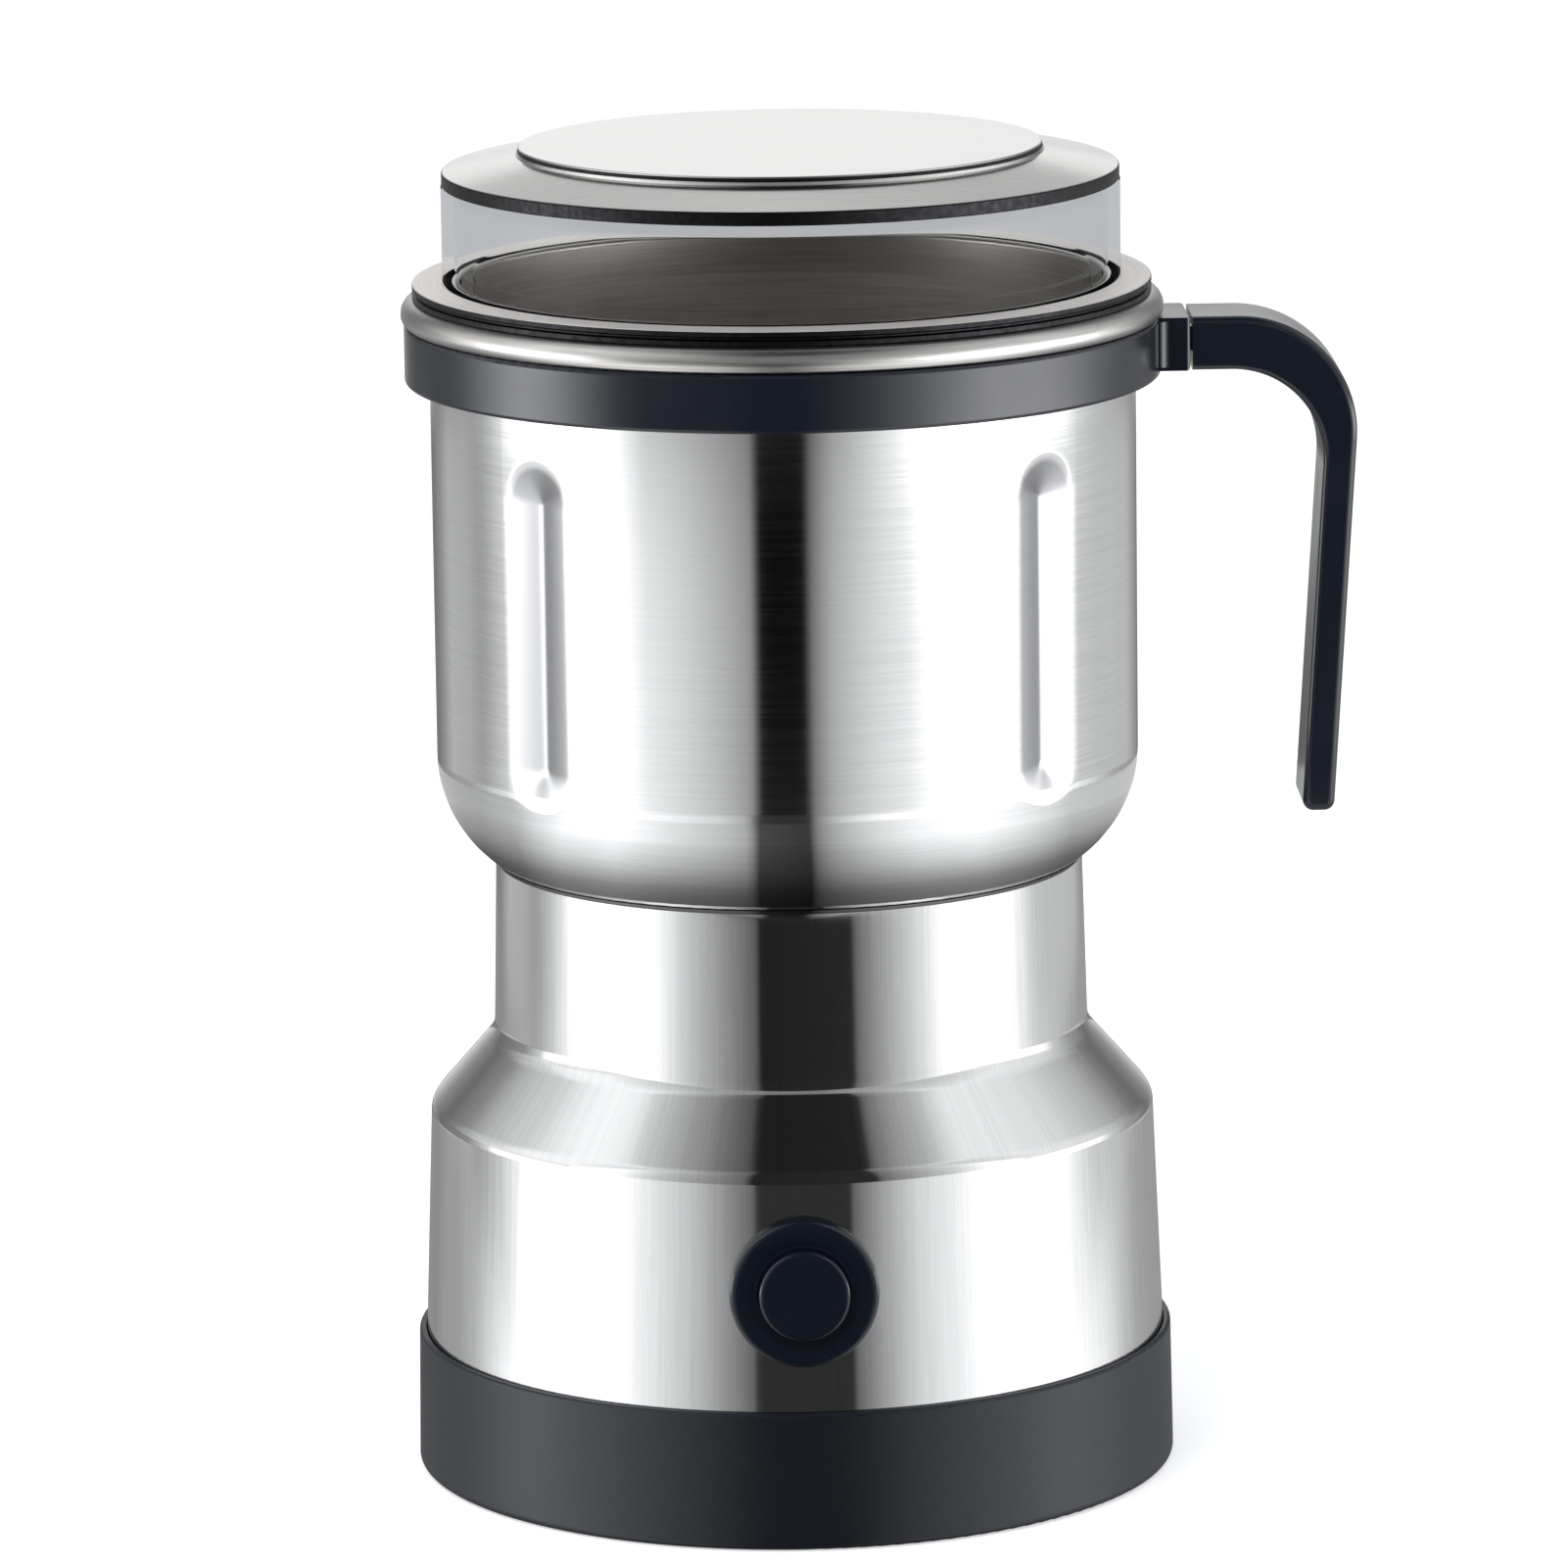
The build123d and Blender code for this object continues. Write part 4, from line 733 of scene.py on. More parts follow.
# Cup
@dataclass
class Cup:
    """The drawn steel sleeve with its four pressed grooves, and the bowl that hangs in it."""

    radius: float = 46.2
    wall: float = 0.7
    bottom: float = 79.0
    bottom_hole: float = 19.8
    bottom_rounding: float = 16.9
    bend_height: float = 152.95
    bend: float = 0.6
    rim_radius: float = 49.85
    rim_top: float = 156.3
    rim_lower_rounding: float = 1.2
    rim_upper_rounding: float = 1.9
    rim_inner: float = 44.5
    groove_low: float = 99.3
    groove_high: float = 134.1
    groove_half_width: float = 5.3
    groove_depth: float = 1.35
    groove_count: int = 4
    groove_first_angle: float = 45.0
    groove_lip: float = 0.14
    groove_hollow: float = 1.06
    groove_crease: float = 0.06
    painted_shade_from: float = 0.6    # of the lip's softness: the depth from which the grooves get painted shade and a higher roughness
    groove_margin: float = 1.2
    fine: float = 0.36
    wide_columns: int = 18
    wide_rows: int = 14
    bowl_radius: float = 43.0
    bowl_wall: float = 0.8
    bowl_floor: float = 95.2
    bowl_hole: float = 5.0
    bowl_rounding: float = 12.0
    bowl_columns: int = 160
    flange_radius: float = 48.3
    flange_top: float = 158.34
    flange_edges: Point = (0.2, 0.25)
    mouth_edge: float = 0.6
    seat_edge: float = 0.3
    flange_notch_depth: float = 0.4    # how far the notch in the flange's side lies back from its rim
    flange_notch_half: float = 0.3
    flange_notch_flat: float = 0.1
    flange_notch_rounding: float = 0.05

    def angles(self) -> np.ndarray:
        """Columns of the sleeve: close together over each groove, wide apart between grooves.

        Returns:
            Angles in radians, in order.
        """
        reach = (self.groove_half_width + self.groove_margin) / self.radius
        pitch = 2 * math.pi / self.groove_count
        close = np.linspace(-reach, reach, 2 * round(reach * self.radius / self.fine) + 1)
        wide = np.linspace(reach, pitch - reach, self.wide_columns)[1:-1]
        one = np.concatenate((close, wide))
        starts = math.radians(self.groove_first_angle) + pitch * np.arange(self.groove_count)
        return (starts[:, None] + one[None, :]).ravel()

    def wall_heights(self) -> np.ndarray:
        """Rows of the straight wall: close together where the grooves begin and end.

        Returns:
            Heights, from low to high.
        """
        low = np.arange(self.bottom + self.bottom_rounding + 0.2, self.groove_low + 0.6, self.fine)
        high = np.arange(self.groove_high - 0.6, self.groove_high + self.groove_half_width + 1.0, self.fine)
        between = np.linspace(low[-1], high[0], self.wide_rows)[1:-1]
        return np.concatenate((low, between, high))

    def press_depth(self, angle: np.ndarray, height: np.ndarray) -> np.ndarray:
        """Depth of the nearest groove under each point.

        A point's distance from the groove's middle line, which ends at the two groove heights, is turned into a
        slope from the full depth in the middle to nothing at the half width, a little hollow because the share
        that is left is raised to a power. The root of the distance's square plus a small square softens the
        crease, and the same on the depth itself softens the lips.

        Args:
            angle: the points' angles in radians.
            height: the points' heights.

        Returns:
            Depths in millimetres.
        """
        pitch = 2 * math.pi / self.groove_count
        first = math.radians(self.groove_first_angle)
        off = (angle - first + pitch / 2) % pitch - pitch / 2
        beyond = np.maximum(0, np.maximum(self.groove_low - height, height - self.groove_high))
        distance = np.hypot(off * self.radius, beyond) / self.groove_half_width
        left = 1 - np.sqrt(distance ** 2 + self.groove_crease ** 2)
        slope = self.groove_depth * np.sign(left) * np.abs(left) ** self.groove_hollow
        return 0.5 * (slope + np.sqrt(slope ** 2 + self.groove_lip ** 2))

    def sleeve_outline(self) -> np.ndarray:
        """Section of the sleeve: out along its floor, up the wall, round the rolled rim and back inside.

        Returns:
            Points, one row each.
        """
        inner = self.radius - self.wall
        rim_inside = self.rim_radius - self.wall
        lap = self.rim_top - self.wall
        bend = self.bend_height + self.wall
        rows = self.wall_heights().tolist()
        outside = [(self.radius, height, 0) for height in rows]
        inside = [(inner, height, 0) for height in reversed(rows)]
        return rounded_outline([
            (self.bottom_hole, self.bottom, 0), (self.radius, self.bottom, self.bottom_rounding), *outside,
            (self.radius, self.bend_height, self.bend),
            (self.rim_radius, self.bend_height, self.rim_lower_rounding),
            (self.rim_radius, self.rim_top, self.rim_upper_rounding), (self.rim_inner, self.rim_top, 0),
            (self.rim_inner, lap, 0), (rim_inside, lap, self.rim_upper_rounding - self.wall),
            (rim_inside, bend, self.rim_lower_rounding - self.wall), (inner, bend, self.bend + self.wall),
            *inside, (inner, self.bottom + self.wall, self.bottom_rounding - self.wall),
            (self.bottom_hole, self.bottom + self.wall, 0),
        ], chord=0.7)

    def make_sleeve(self, shop: Workshop) -> None:
        """Builds the sleeve: the turned section, with both its walls pressed inwards by the grooves' depth.

        Args:
            shop: the materials.
        """
        angles = self.angles()
        outline = self.sleeve_outline()
        grid = revolve(outline, angles)
        radial = np.hypot(grid[..., 0], grid[..., 1])
        on_wall = radial > self.radius - self.wall - 0.05
        depth = self.press_depth(np.broadcast_to(angles[:, None], radial.shape), grid[..., 2]) * on_wall
        grid[..., :2] *= ((radial - depth) / radial)[..., None]
        rolled = (outline[:, 1] > self.bend_height - 0.1).astype(int)
        piece = make_turned("cup_sleeve_pressed", grid, [shop.material(CUP_STEEL), shop.material(RIM_STEEL)], rolled)
        # Painted shade: the pressed attribute grows with the depth below the lips and darkens the grooves in the
        # material.
        pressed = np.clip(depth / self.groove_lip - self.painted_shade_from, 0, 1).astype(np.float32)
        piece.data.attributes.new("pressed", "FLOAT", "POINT").data.foreach_set("value", pressed.ravel())
        place_piece(piece, Body.ROOT, "cup_sleeve")

    def make_bowl(self, shop: Workshop) -> None:
        """Builds the spun bowl, whose flange's notched side is painted dark as shade.

        Args:
            shop: the materials.
        """
        middle = 0.5 * (self.rim_top + self.flange_top)
        flange, back = self.flange_radius, self.flange_radius - self.flange_notch_depth
        mouth, floor = self.bowl_radius - self.bowl_wall, self.bowl_floor + self.bowl_wall
        half, flat, soft = self.flange_notch_half, self.flange_notch_flat, self.flange_notch_rounding
        outline = rounded_outline([
            (self.bowl_hole, self.bowl_floor, 0), (self.bowl_radius, self.bowl_floor, self.bowl_rounding),
            (self.bowl_radius, self.rim_top, self.seat_edge), (flange, self.rim_top, self.flange_edges[0]),
            (flange, middle - half, soft), (back, middle - flat, soft), (back, middle + flat, soft),
            (flange, middle + half, soft), (flange, self.flange_top, self.flange_edges[1]),
            (mouth, self.flange_top, self.mouth_edge),
            (mouth, floor, self.bowl_rounding - self.bowl_wall), (self.bowl_hole, floor, 0),
        ], guard=0.02)
        # The flange's side takes the near-black steel: painted shade between the flange and the rolled rim.
        following = np.roll(outline, -1, axis=0)
        edge = (outline[:, 0] > flange - 0.5) & (following[:, 0] > flange - 0.5)
        edge &= (outline[:, 1] < self.flange_top - 0.1) & (following[:, 1] < self.flange_top - 0.1)
        piece = make_turned("grinding_bowl_spun", revolve(outline, even_angles(self.bowl_columns)),
                            [shop.material(BOWL_STEEL), shop.material(PAINTED_SHADE_STEEL)], edge.astype(int))
        place_piece(piece, Body.ROOT, "grinding_bowl")


# Lid
@dataclass
class Lid:
    """The clear moulded lid and the pressed steel cap on its roof."""

    wall_radius: float = 44.3
    wall: float = 1.8
    foot: float = 158.34
    foot_thickness: float = 1.5
    roof_rounding: float = 0.8
    foot_rounding: float = 0.4
    roof_top: float = 171.04
    roof: float = 1.6
    spigot_radius: float = 41.8
    spigot_wall: float = 1.6
    spigot_bottom: float = 153.04
    spigot_rounding: float = 0.5
    ledge_edge: float = 0.3
    foot_edge: float = 0.25
    moulded_edge: float = 0.2
    cap_radius: float = 44.2
    lip_top: float = 172.89
    cone_top: float = 174.89
    step_radius: float = 34.1
    step_foot: float = 34.45
    top: float = 176.0
    cap_wall: float = 0.7
    lip_edge: float = 0.35
    lip_foot_edges: Point = (0.1, 0.15)
    sheet_bend: float = 0.2
    step_edge: float = 0.3
    step_waist: float = 34.25
    step_line: float = 175.3
    step_foot_edge: float = 0.1
    gap: float = 0.05
    columns: int = 200

    def make_shell(self, shop: Workshop) -> None:
        """Builds the clear lid: one wall that steps in at its foot to the spigot, closed by a roof.

        Args:
            shop: the materials.
        """
        inner, ceiling = self.wall_radius - self.wall, self.roof_top - self.roof
        spigot, ledge = self.spigot_radius - self.spigot_wall, self.foot + self.foot_thickness
        outline = rounded_outline([
            (0, ceiling, 0), (inner, ceiling, self.roof_rounding), (inner, ledge, self.foot_rounding),
            (spigot, ledge, self.ledge_edge), (spigot, self.spigot_bottom, self.spigot_rounding),
            (self.spigot_radius, self.spigot_bottom, self.spigot_rounding),
            (self.spigot_radius, self.foot, self.moulded_edge), (self.wall_radius, self.foot, self.foot_edge),
            (self.wall_radius, self.roof_top, self.moulded_edge), (0, self.roof_top, 0),
        ], closed=False)
        piece = make_turned("lid_shell_moulded", revolve(outline, even_angles(self.columns)),
                            [shop.material(CLEAR_LID)], closed_rows=False)
        place_piece(piece, Body.LID, "lid_shell")

    def make_cap(self, shop: Workshop) -> None:
        """Builds the pressed cap, whose lip and the upper face of its step are painted dark as shade.

        Args:
            shop: the materials.
        """
        wall, bend, lip = self.cap_wall, self.sheet_bend, self.roof_top + self.gap
        inner = self.cap_radius - wall
        outline = rounded_outline([
            (0, self.top - wall, 0), (self.step_radius - wall, self.top - wall, bend),
            (self.step_foot - wall, self.cone_top - wall, bend), (inner, self.lip_top - wall, bend),
            (inner, lip, self.lip_foot_edges[0]), (self.cap_radius, lip, self.lip_foot_edges[1]),
            (self.cap_radius, self.lip_top, self.lip_edge), (self.step_foot, self.cone_top, self.step_foot_edge),
            (self.step_waist, self.step_line, 0),
            (self.step_radius, self.top, self.step_edge), (0, self.top, 0),
        ], closed=False)
        # The lip and the upper part of the step take the near-black steel: a painted dark lip and a painted shadow
        # line under the disc's edge.
        following = np.roll(outline, -1, axis=0)
        edge = (outline[:, 0] > self.cap_radius - 0.1) & (following[:, 0] > self.cap_radius - 0.2)
        edge |= (outline[:, 1] > self.step_line - 0.01) & (following[:, 1] < self.top - 0.5 * self.step_edge)
        piece = make_turned("lid_cap_pressed", revolve(outline, even_angles(self.columns)),
                            [shop.material(CAP_STEEL), shop.material(PAINTED_SHADE_STEEL)], edge.astype(int),
                            closed_rows=False)
        place_piece(piece, Body.LID, "lid_cap")


# Switch
@dataclass
class SwitchSpring:
    """The wound spring behind the push button, which shortens as the button goes in."""

    node: str = "switch_spring"
    wire: float = 0.6
    turns: float = 4.0
    travel: float = 2.5
    steps: int = 200             # columns of points along the wire
    sides: int = 14

    def make(self, shop: Workshop) -> None:
        """Builds the wire in the place of the CAD spring.

        The wire's middle runs round the Y axis of the button at an even pitch. Each point of its skin stands half a
        wire from that middle, at an even angle from the outward direction towards the direction across the turn.

        Args:
            shop: the materials.
        """
        low, high = (np.array(corner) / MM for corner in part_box(self.node))
        middle = 0.5 * (low + high)
        thick = 0.5 * self.wire
        radius = 0.5 * (high[0] - low[0]) - thick
        turn = np.linspace(0, 2 * math.pi * self.turns, self.steps)
        rise = np.linspace(low[1] + thick, high[1] - thick, self.steps)
        around = 2 * math.pi * np.arange(self.sides)[:, None] / self.sides
        skin = np.where((np.arange(self.steps) % (self.steps - 1)) > 0, thick, 0.0)
        reach = radius + skin * np.cos(around)
        grid = np.stack((
            middle[0] + reach * np.cos(turn), rise + skin * np.sin(around), middle[2] + reach * np.sin(turn)
        ), axis=-1)
        piece = make_turned("switch_spring_wound", grid, [shop.material(SPRING)], closed_rows=False)
        place_piece(piece, Body.ROOT, self.node)
        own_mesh(piece)


# Housing
@dataclass
class Housing:
    """The drawn steel housing: neck, cone, rounded shoulder and lower wall with the switch's hole."""

    skirt_radius: float = 49.05
    skirt_ledge: float = 13.8
    base_top: float = 18.1
    shoulder_radius: float = 47.85
    shoulder_height: float = 48.8
    shoulder_rounding: float = 3.0
    neck_foot_radius: float = 39.3
    neck_foot_height: float = 58.6
    neck_rounding: float = 4.5
    neck_radius: float = 38.7
    neck_top: float = 81.78
    neck_top_inside: float = 81.36
    wall: float = 0.7
    hole_radius: float = 8.3
    hole_height: float = 34.0
    hole_cells: int = 14
    margin_cells: int = 5
    blend_reach: float = 1.58    # of the hole's radius: how far round the hole the grid is bent
    coarse_columns: int = 132
    arc_steps: int = 14

    def hole_lines(self) -> np.ndarray:
        """Distances of the grid lines that pass the hole from its middle, close together and even inside it.

        Returns:
            Distances, in order.
        """
        inner = np.linspace(-self.hole_radius, self.hole_radius, self.hole_cells + 1)
        outer = np.linspace(self.hole_radius, self.blend_reach * self.hole_radius, self.margin_cells + 1)[1:]
        return np.concatenate((-outer[::-1], inner, outer))

    def wall_radius(self, height: np.ndarray) -> np.ndarray:
        """Outer radius of the lower wall, which falls evenly from the skirt to the shoulder."""
        share = (height - self.base_top) / (self.shoulder_height - self.base_top)
        return self.skirt_radius + (self.shoulder_radius - self.skirt_radius) * share

    def outline(self) -> np.ndarray:
        """Section of the sheet: up the outer face, over the neck's edge and down the inner face, row for row.

        Returns:
            Points, one row each.
        """
        heights = self.hole_height + self.hole_lines()
        radii = self.wall_radius(heights)
        corners = [(self.skirt_radius, self.base_top), (self.shoulder_radius, self.shoulder_height),
                   (self.neck_foot_radius, self.neck_foot_height), (self.neck_radius, self.neck_top)]
        within = (inner_corner(*corners[:3], self.wall), inner_corner(*corners[1:], self.wall))
        faces = []
        for inset, bends, top in ((0.0, corners[1:3], self.neck_top), (self.wall, within, self.neck_top_inside)):
            faces.append(rounded_outline([
                (self.skirt_radius - inset, self.skirt_ledge, 0), (self.skirt_radius - inset, self.base_top, 0),
                *((float(radius) - inset, float(height), 0.0) for radius, height in zip(radii, heights)),
                (*bends[0], self.shoulder_rounding - inset), (*bends[1], self.neck_rounding + inset),
                (self.neck_radius - inset, top, 0),
            ], closed=False, steps=self.arc_steps))
        return np.vstack((faces[0], faces[1][::-1]))

    def angles(self) -> np.ndarray:
        """Columns: the hole's lines round the front, and even wide steps for the rest.

        Returns:
            Angles in radians, in order.
        """
        radius = float(self.wall_radius(np.array(self.hole_height)))
        fine = np.arcsin(self.hole_lines() / radius)
        wide = np.linspace(fine[-1], 2 * math.pi + fine[0], self.coarse_columns + 1)[1:-1]
        return np.concatenate((fine, wide)) - math.pi / 2

    def make(self, shop: Workshop) -> None:
        """Builds the housing, with the square of grid lines at the hole drawn out into a circle.

        A point's two distances from the hole's middle are multiplied by the larger one over the distance itself,
        which turns squares into circles. The change fades out evenly from the hole's edge to the reach. Faces
        inside the hole go, and a band of faces joins the two walls round its edge.

        Args:
            shop: the materials.
        """
        outline = self.outline()
        angles = self.angles()
        rows = len(outline)
        middle = float(self.wall_radius(np.array(self.hole_height)))
        from_front = (angles + math.pi / 2)[:, None]
        facing = np.cos(from_front) > 0
        across = np.broadcast_to(middle * np.sin(from_front), (len(angles), rows))
        above = np.broadcast_to(outline[None, :, 1] - self.hole_height, across.shape)
        square = np.maximum(np.abs(across), np.abs(above))
        circle = np.maximum(np.hypot(across, above), TOLERANCE)
        reach = (self.blend_reach - 1) * self.hole_radius
        share = np.clip((self.blend_reach * self.hole_radius - square) / reach, 0, 1) * facing
        share = np.where(np.isclose(share, 0, atol=1e-9), 0, share)
        scale = 1 + share * (square / circle - 1)
        bent = np.arcsin(np.clip(across * scale / middle, -1, 1)) - math.pi / 2
        turn = np.where(share > 0, bent, angles[:, None])
        height = self.hole_height + above * scale
        slope = (self.shoulder_radius - self.skirt_radius) / (self.shoulder_height - self.base_top)
        radius = outline[None, :, 0] + (height - self.hole_height - above) * slope
        grid = np.stack((radius * np.cos(turn), radius * np.sin(turn), height), axis=2)
        quads, _ = grid_faces(len(angles), rows, True)
        on_edge = (np.abs(square - self.hole_radius) < TOLERANCE) & facing
        held = on_edge | (square < self.hole_radius) & facing
        kept = quads[~held.ravel()[quads].all(axis=2)]
        loop = self.edge_loop(on_edge[:, :rows // 2], rows)
        opposite = loop // rows * rows + (rows - 1 - loop % rows)
        band = np.stack((loop, np.roll(loop, -1), np.roll(opposite, -1), opposite), axis=1)
        piece = make_piece("motor_housing_drawn", grid.reshape(-1, 3), np.vstack((kept, band)),
                           [shop.material(HOUSING_STEEL)])
        place_piece(piece, Body.ROOT, "motor_housing")

    def edge_loop(self, on_edge: np.ndarray, rows: int) -> np.ndarray:
        """Vertex numbers round the hole on the outer face, sorted by their direction from its middle.

        Args:
            on_edge: which points of the outer face lie on the hole's edge.
            rows: number of rows of the whole section.

        Returns:
            Vertex numbers, in order.
        """
        column, row = np.nonzero(on_edge)
        across, up = ((value - (value.min() + value.max()) / 2) / np.ptp(value) for value in (column, row))
        return (column * rows + row)[np.argsort(-np.arctan2(up, across))]


# Studio
@dataclass
class Studio:
    """Pale floor, white surroundings for the camera, softboxes and flags for the steel, and the camera itself.

    Brightness is graded by tables of stops. Around the object a stop has degrees from the camera's side, negative
    to its left; on the card it has the distance from the middle, on the ring the radius, and overhead the sideways
    share of a ray. The card and the ring stand close to the housing and the cup, and only reflections see them.
    """

    floor_reach: float = 6000.0
    floor_drop: float = 0.1
    floor_colour: str = "d8d9da"
    floor_glow: float = 0.55
    lamp_size: float = 900.0
    lamp_energy: float = 6.0
    lamp_place: Corner = (-350.0, -500.0, 1000.0)
    fill_colour: str = "f4f6fa"
    fill_strength: float = 0.8
    camera_distance: float = 1262.4
    camera_elevation: float = 11.33
    camera_azimuth: float = -1.4
    camera_roll: float = 0.755
    target_right: float = -0.54
    target_height: float = 90.68
    lens: float = 219.575
    sensor: float = 36.0
    clip_near: float = 10.0
    clip_far: float = 50000.0
    brightest: float = 9.0
    away_brightness: float = 0.75
    away_depth: Point = (0.05, 0.3)
    ground_share: float = 0.2
    ground_rise: Point = (-30.0, -80.0)
    roof_rise: Point = (48.0, 54.0)
    card_distance: float = 62.0
    card_reach: float = 130.0
    card_low: float = -45.0
    card_high: float = 77.0
    card_seam: Point = (46.4, 47.6)
    card_brightest: float = 2.0
    card_at_neck: Stops = (
        (-68, 1.9), (-54, 1.55), (-44, 1.15), (-36, 0.85), (-23, 0.47), (-11.6, 0.17), (-10.6, 0.02), (16.8, 0.03),
        (17.8, 0.2), (25, 0.44), (39, 0.88), (58, 1.45), (73, 1.9),
    )
    card_at_wall: Stops = (
        (-60, 1.9), (-47, 1.53), (-39, 1.3), (-26, 0.88), (-16, 0.43), (-10, 0.2), (-9, 0.04), (10.2, 0.04),
        (11.2, 0.2), (17, 0.5), (27.5, 1.05), (41, 1.38), (63, 1.9),
    )
    ring_inner: float = 38.95
    ring_outer: float = 84.0
    ring_height: float = 81.3
    ring_columns: int = 96
    ring_shade_start: float = 38.0
    ring_widening_start: float = 46.0
    ring_widening: float = 0.82
    ring_around: Stops = (
        (-180, 0.5), (-140, 0.5), (-108, 0.6), (-80, 0.6), (-65, 0.8), (-50.5, 1.6), (-37, 1.75), (-24.5, 1.2),
        (-14.5, 0.85), (-9, 0.62), (-7.4, 0.1), (3.0, 0.06), (4.4, 0.35), (7.7, 0.62), (15.2, 1.05), (25.2, 1.5),
        (38, 1.75), (51, 1.4), (66, 0.9), (82, 0.8), (112, 0.65), (140, 0.5), (180, 0.5),
    )
    ring_outwards: Stops = (
        (38, 0.1), (40.7, 0.17), (42.1, 0.22), (43.9, 0.34), (45.9, 0.47), (48.6, 0.63), (52.1, 0.76), (57.1, 0.9),
        (60, 1.0),
    )
    level: Stops = (
        (-180, 0.2), (-165, 0.22), (-155, 0.36), (-144, 0.64), (-129, 0.62), (-121, 0.5), (-116, 0.55), (-107, 0.85),
        (-99, 1.3), (-94, 1.9), (-72, 2.2), (-58, 2.0), (-48, 1.36), (-35, 1.08), (-11.8, 0.46), (-10.9, 0.0),
        (5, 0.0), (6.5, 0.25), (14, 0.7), (26, 1.02), (38, 1.22), (54, 2.1), (86, 2.1), (93, 1.6), (109, 0.85),
        (119, 0.78), (133, 0.75), (147, 0.66), (157, 0.42), (168, 0.24), (180, 0.2),
    )
    bands: tuple[tuple[float, float, Stops], ...] = (
        (-11.45, -11.8, (    # a narrow band under the level table
            (-180, 0.3), (-156, 0.34), (-144, 0.46), (-132, 0.5), (-120, 0.72), (-107, 1.35), (-98, 1.8),
            (-84, 2.2), (-61, 1.9), (-40, 1.2), (-23.6, 0.85), (-14.5, 0.55), (-12, 0.2), (-11, 0.04),
            (5.7, 0.04), (7.2, 0.3), (14, 0.62), (26.7, 1.05), (43, 1.5), (60, 2.0), (84, 2.2),
            (98, 1.7), (110, 1.4), (122, 0.85), (134, 0.55), (147, 0.45), (170, 0.35), (180, 0.3),
        )),
        (-13.8, -14.5, (     # all that lies lower, down to the ground
            (-180, 0.3), (-153, 0.3), (-135, 0.35), (-120, 0.45), (-102, 0.8), (-82, 1.6), (-61, 1.9), (-40, 1.5),
            (-23.6, 1.05), (-14.5, 0.6), (-12.3, 0.2), (-11, 0.05), (5.7, 0.04), (7.2, 0.3), (14, 0.8), (26.7, 1.5),
            (43.4, 2.1), (64, 2.1), (84.7, 1.4), (105, 0.8), (125, 0.45), (156, 0.3), (180, 0.3),
        )),
        (-9.3, -8.6, (       # over the level table: the two softboxes, bright at the sides
            (-180, 1.0), (-160, 0.35), (-150, 0.2), (-135, 0.3), (-125, 0.4), (-114, 0.9), (-102, 3.2), (-91, 7.2),
            (-81, 8.6), (-72, 6.2), (-63.6, 2.8), (-55.4, 0.8), (-47.4, 0.2), (-36, 0.06), (6, 0.04), (11.6, 0.15),
            (18.9, 0.4), (26.2, 0.9), (33.7, 1.8), (41.4, 3.1), (49.3, 4.7), (57.4, 6.4), (65.8, 7.8), (74.8, 8.0),
            (84.3, 6.8), (94.6, 5.0), (106, 2.2), (118, 0.9), (130, 0.5), (150, 0.2), (160, 0.35), (180, 1.0),
        )),
        (4.0, 7.0, (         # over the softboxes
            (-180, 1.12), (-171, 1.05), (-160, 0.35), (-150, 0.2), (-140, 0.3), (-125, 0.7), (-110, 1.2),
            (-85, 1.3), (-40, 0.7), (-12, 0.35), (-8, 0.2), (8, 0.2), (14, 0.45), (40, 1.0), (75, 1.3), (110, 1.1),
            (125, 0.7), (140, 0.3), (150, 0.2), (160, 0.35), (171, 1.05), (180, 1.12),
        )),
        (12.5, 17.0, (       # high up, below the roof
            (-180, 0.78), (-173, 0.66), (-165, 0.42), (-150, 0.22), (-139, 0.35), (-131, 0.66), (-123, 0.85),
            (-114, 1.0), (-105, 1.35), (-95, 1.5), (-80, 1.5), (-40, 0.6), (-12, 0.3), (12, 0.3), (40, 0.6),
            (86, 1.3), (107, 1.15), (116, 1.0), (124, 0.8), (132, 0.62), (139, 0.4), (147, 0.22), (156, 0.28),
            (165, 0.42), (173, 0.66), (180, 0.78),
        )),
    )
    roof: Stops = (
        (-1.0, 1.0), (-0.72, 1.3), (-0.64, 1.5), (-0.58, 1.32), (-0.54, 0.95), (-0.5, 0.8), (-0.4, 0.5),
        (-0.28, 0.26), (-0.17, 0.12), (-0.15, 0.015), (0.27, 0.02), (0.29, 0.2), (0.42, 0.53), (0.49, 0.72),
        (0.53, 1.0), (0.58, 1.28), (0.72, 1.2), (1.0, 1.0),
    )

    def turn_of(self, tree: Tree, x: Link, y: Link) -> Link:
        """The direction of a point or ray round the object, 0.5 towards the camera and growing to its right.

        Args:
            tree: the node tree.
            x: its share or place along x.
            y: the same along y.

        Returns:
            The node that gives it, from 0 to 1.
        """
        forward = add_node(tree, "Math", {0: y, 1: -1.0}, operation="MULTIPLY")
        angle = add_node(tree, "Math", {0: x, 1: forward}, operation="ARCTAN2")
        return add_node(tree, "Math", {0: angle, 1: 0.5 / math.pi, 2: 0.5}, operation="MULTIPLY_ADD")

    def graded(self, tree: Tree, where: Link, stops: Stops, span: float, brightest: float) -> Link:
        """Brightness that changes with a place.

        Args:
            tree: the node tree.
            where: the place, as a share of the span, 0.5 in its middle.
            stops: the places, from the middle of the span, and the brightness at each.
            span: what the places run over from end to end.
            brightest: the brightness that the result is a share of.

        Returns:
            The node that gives the colour.
        """
        ramp = add_node(tree, "ValToRGB", {"Fac": where})
        return set_ramp(ramp, [(0.5 + place / span, grey(value / brightest)) for place, value in stops])

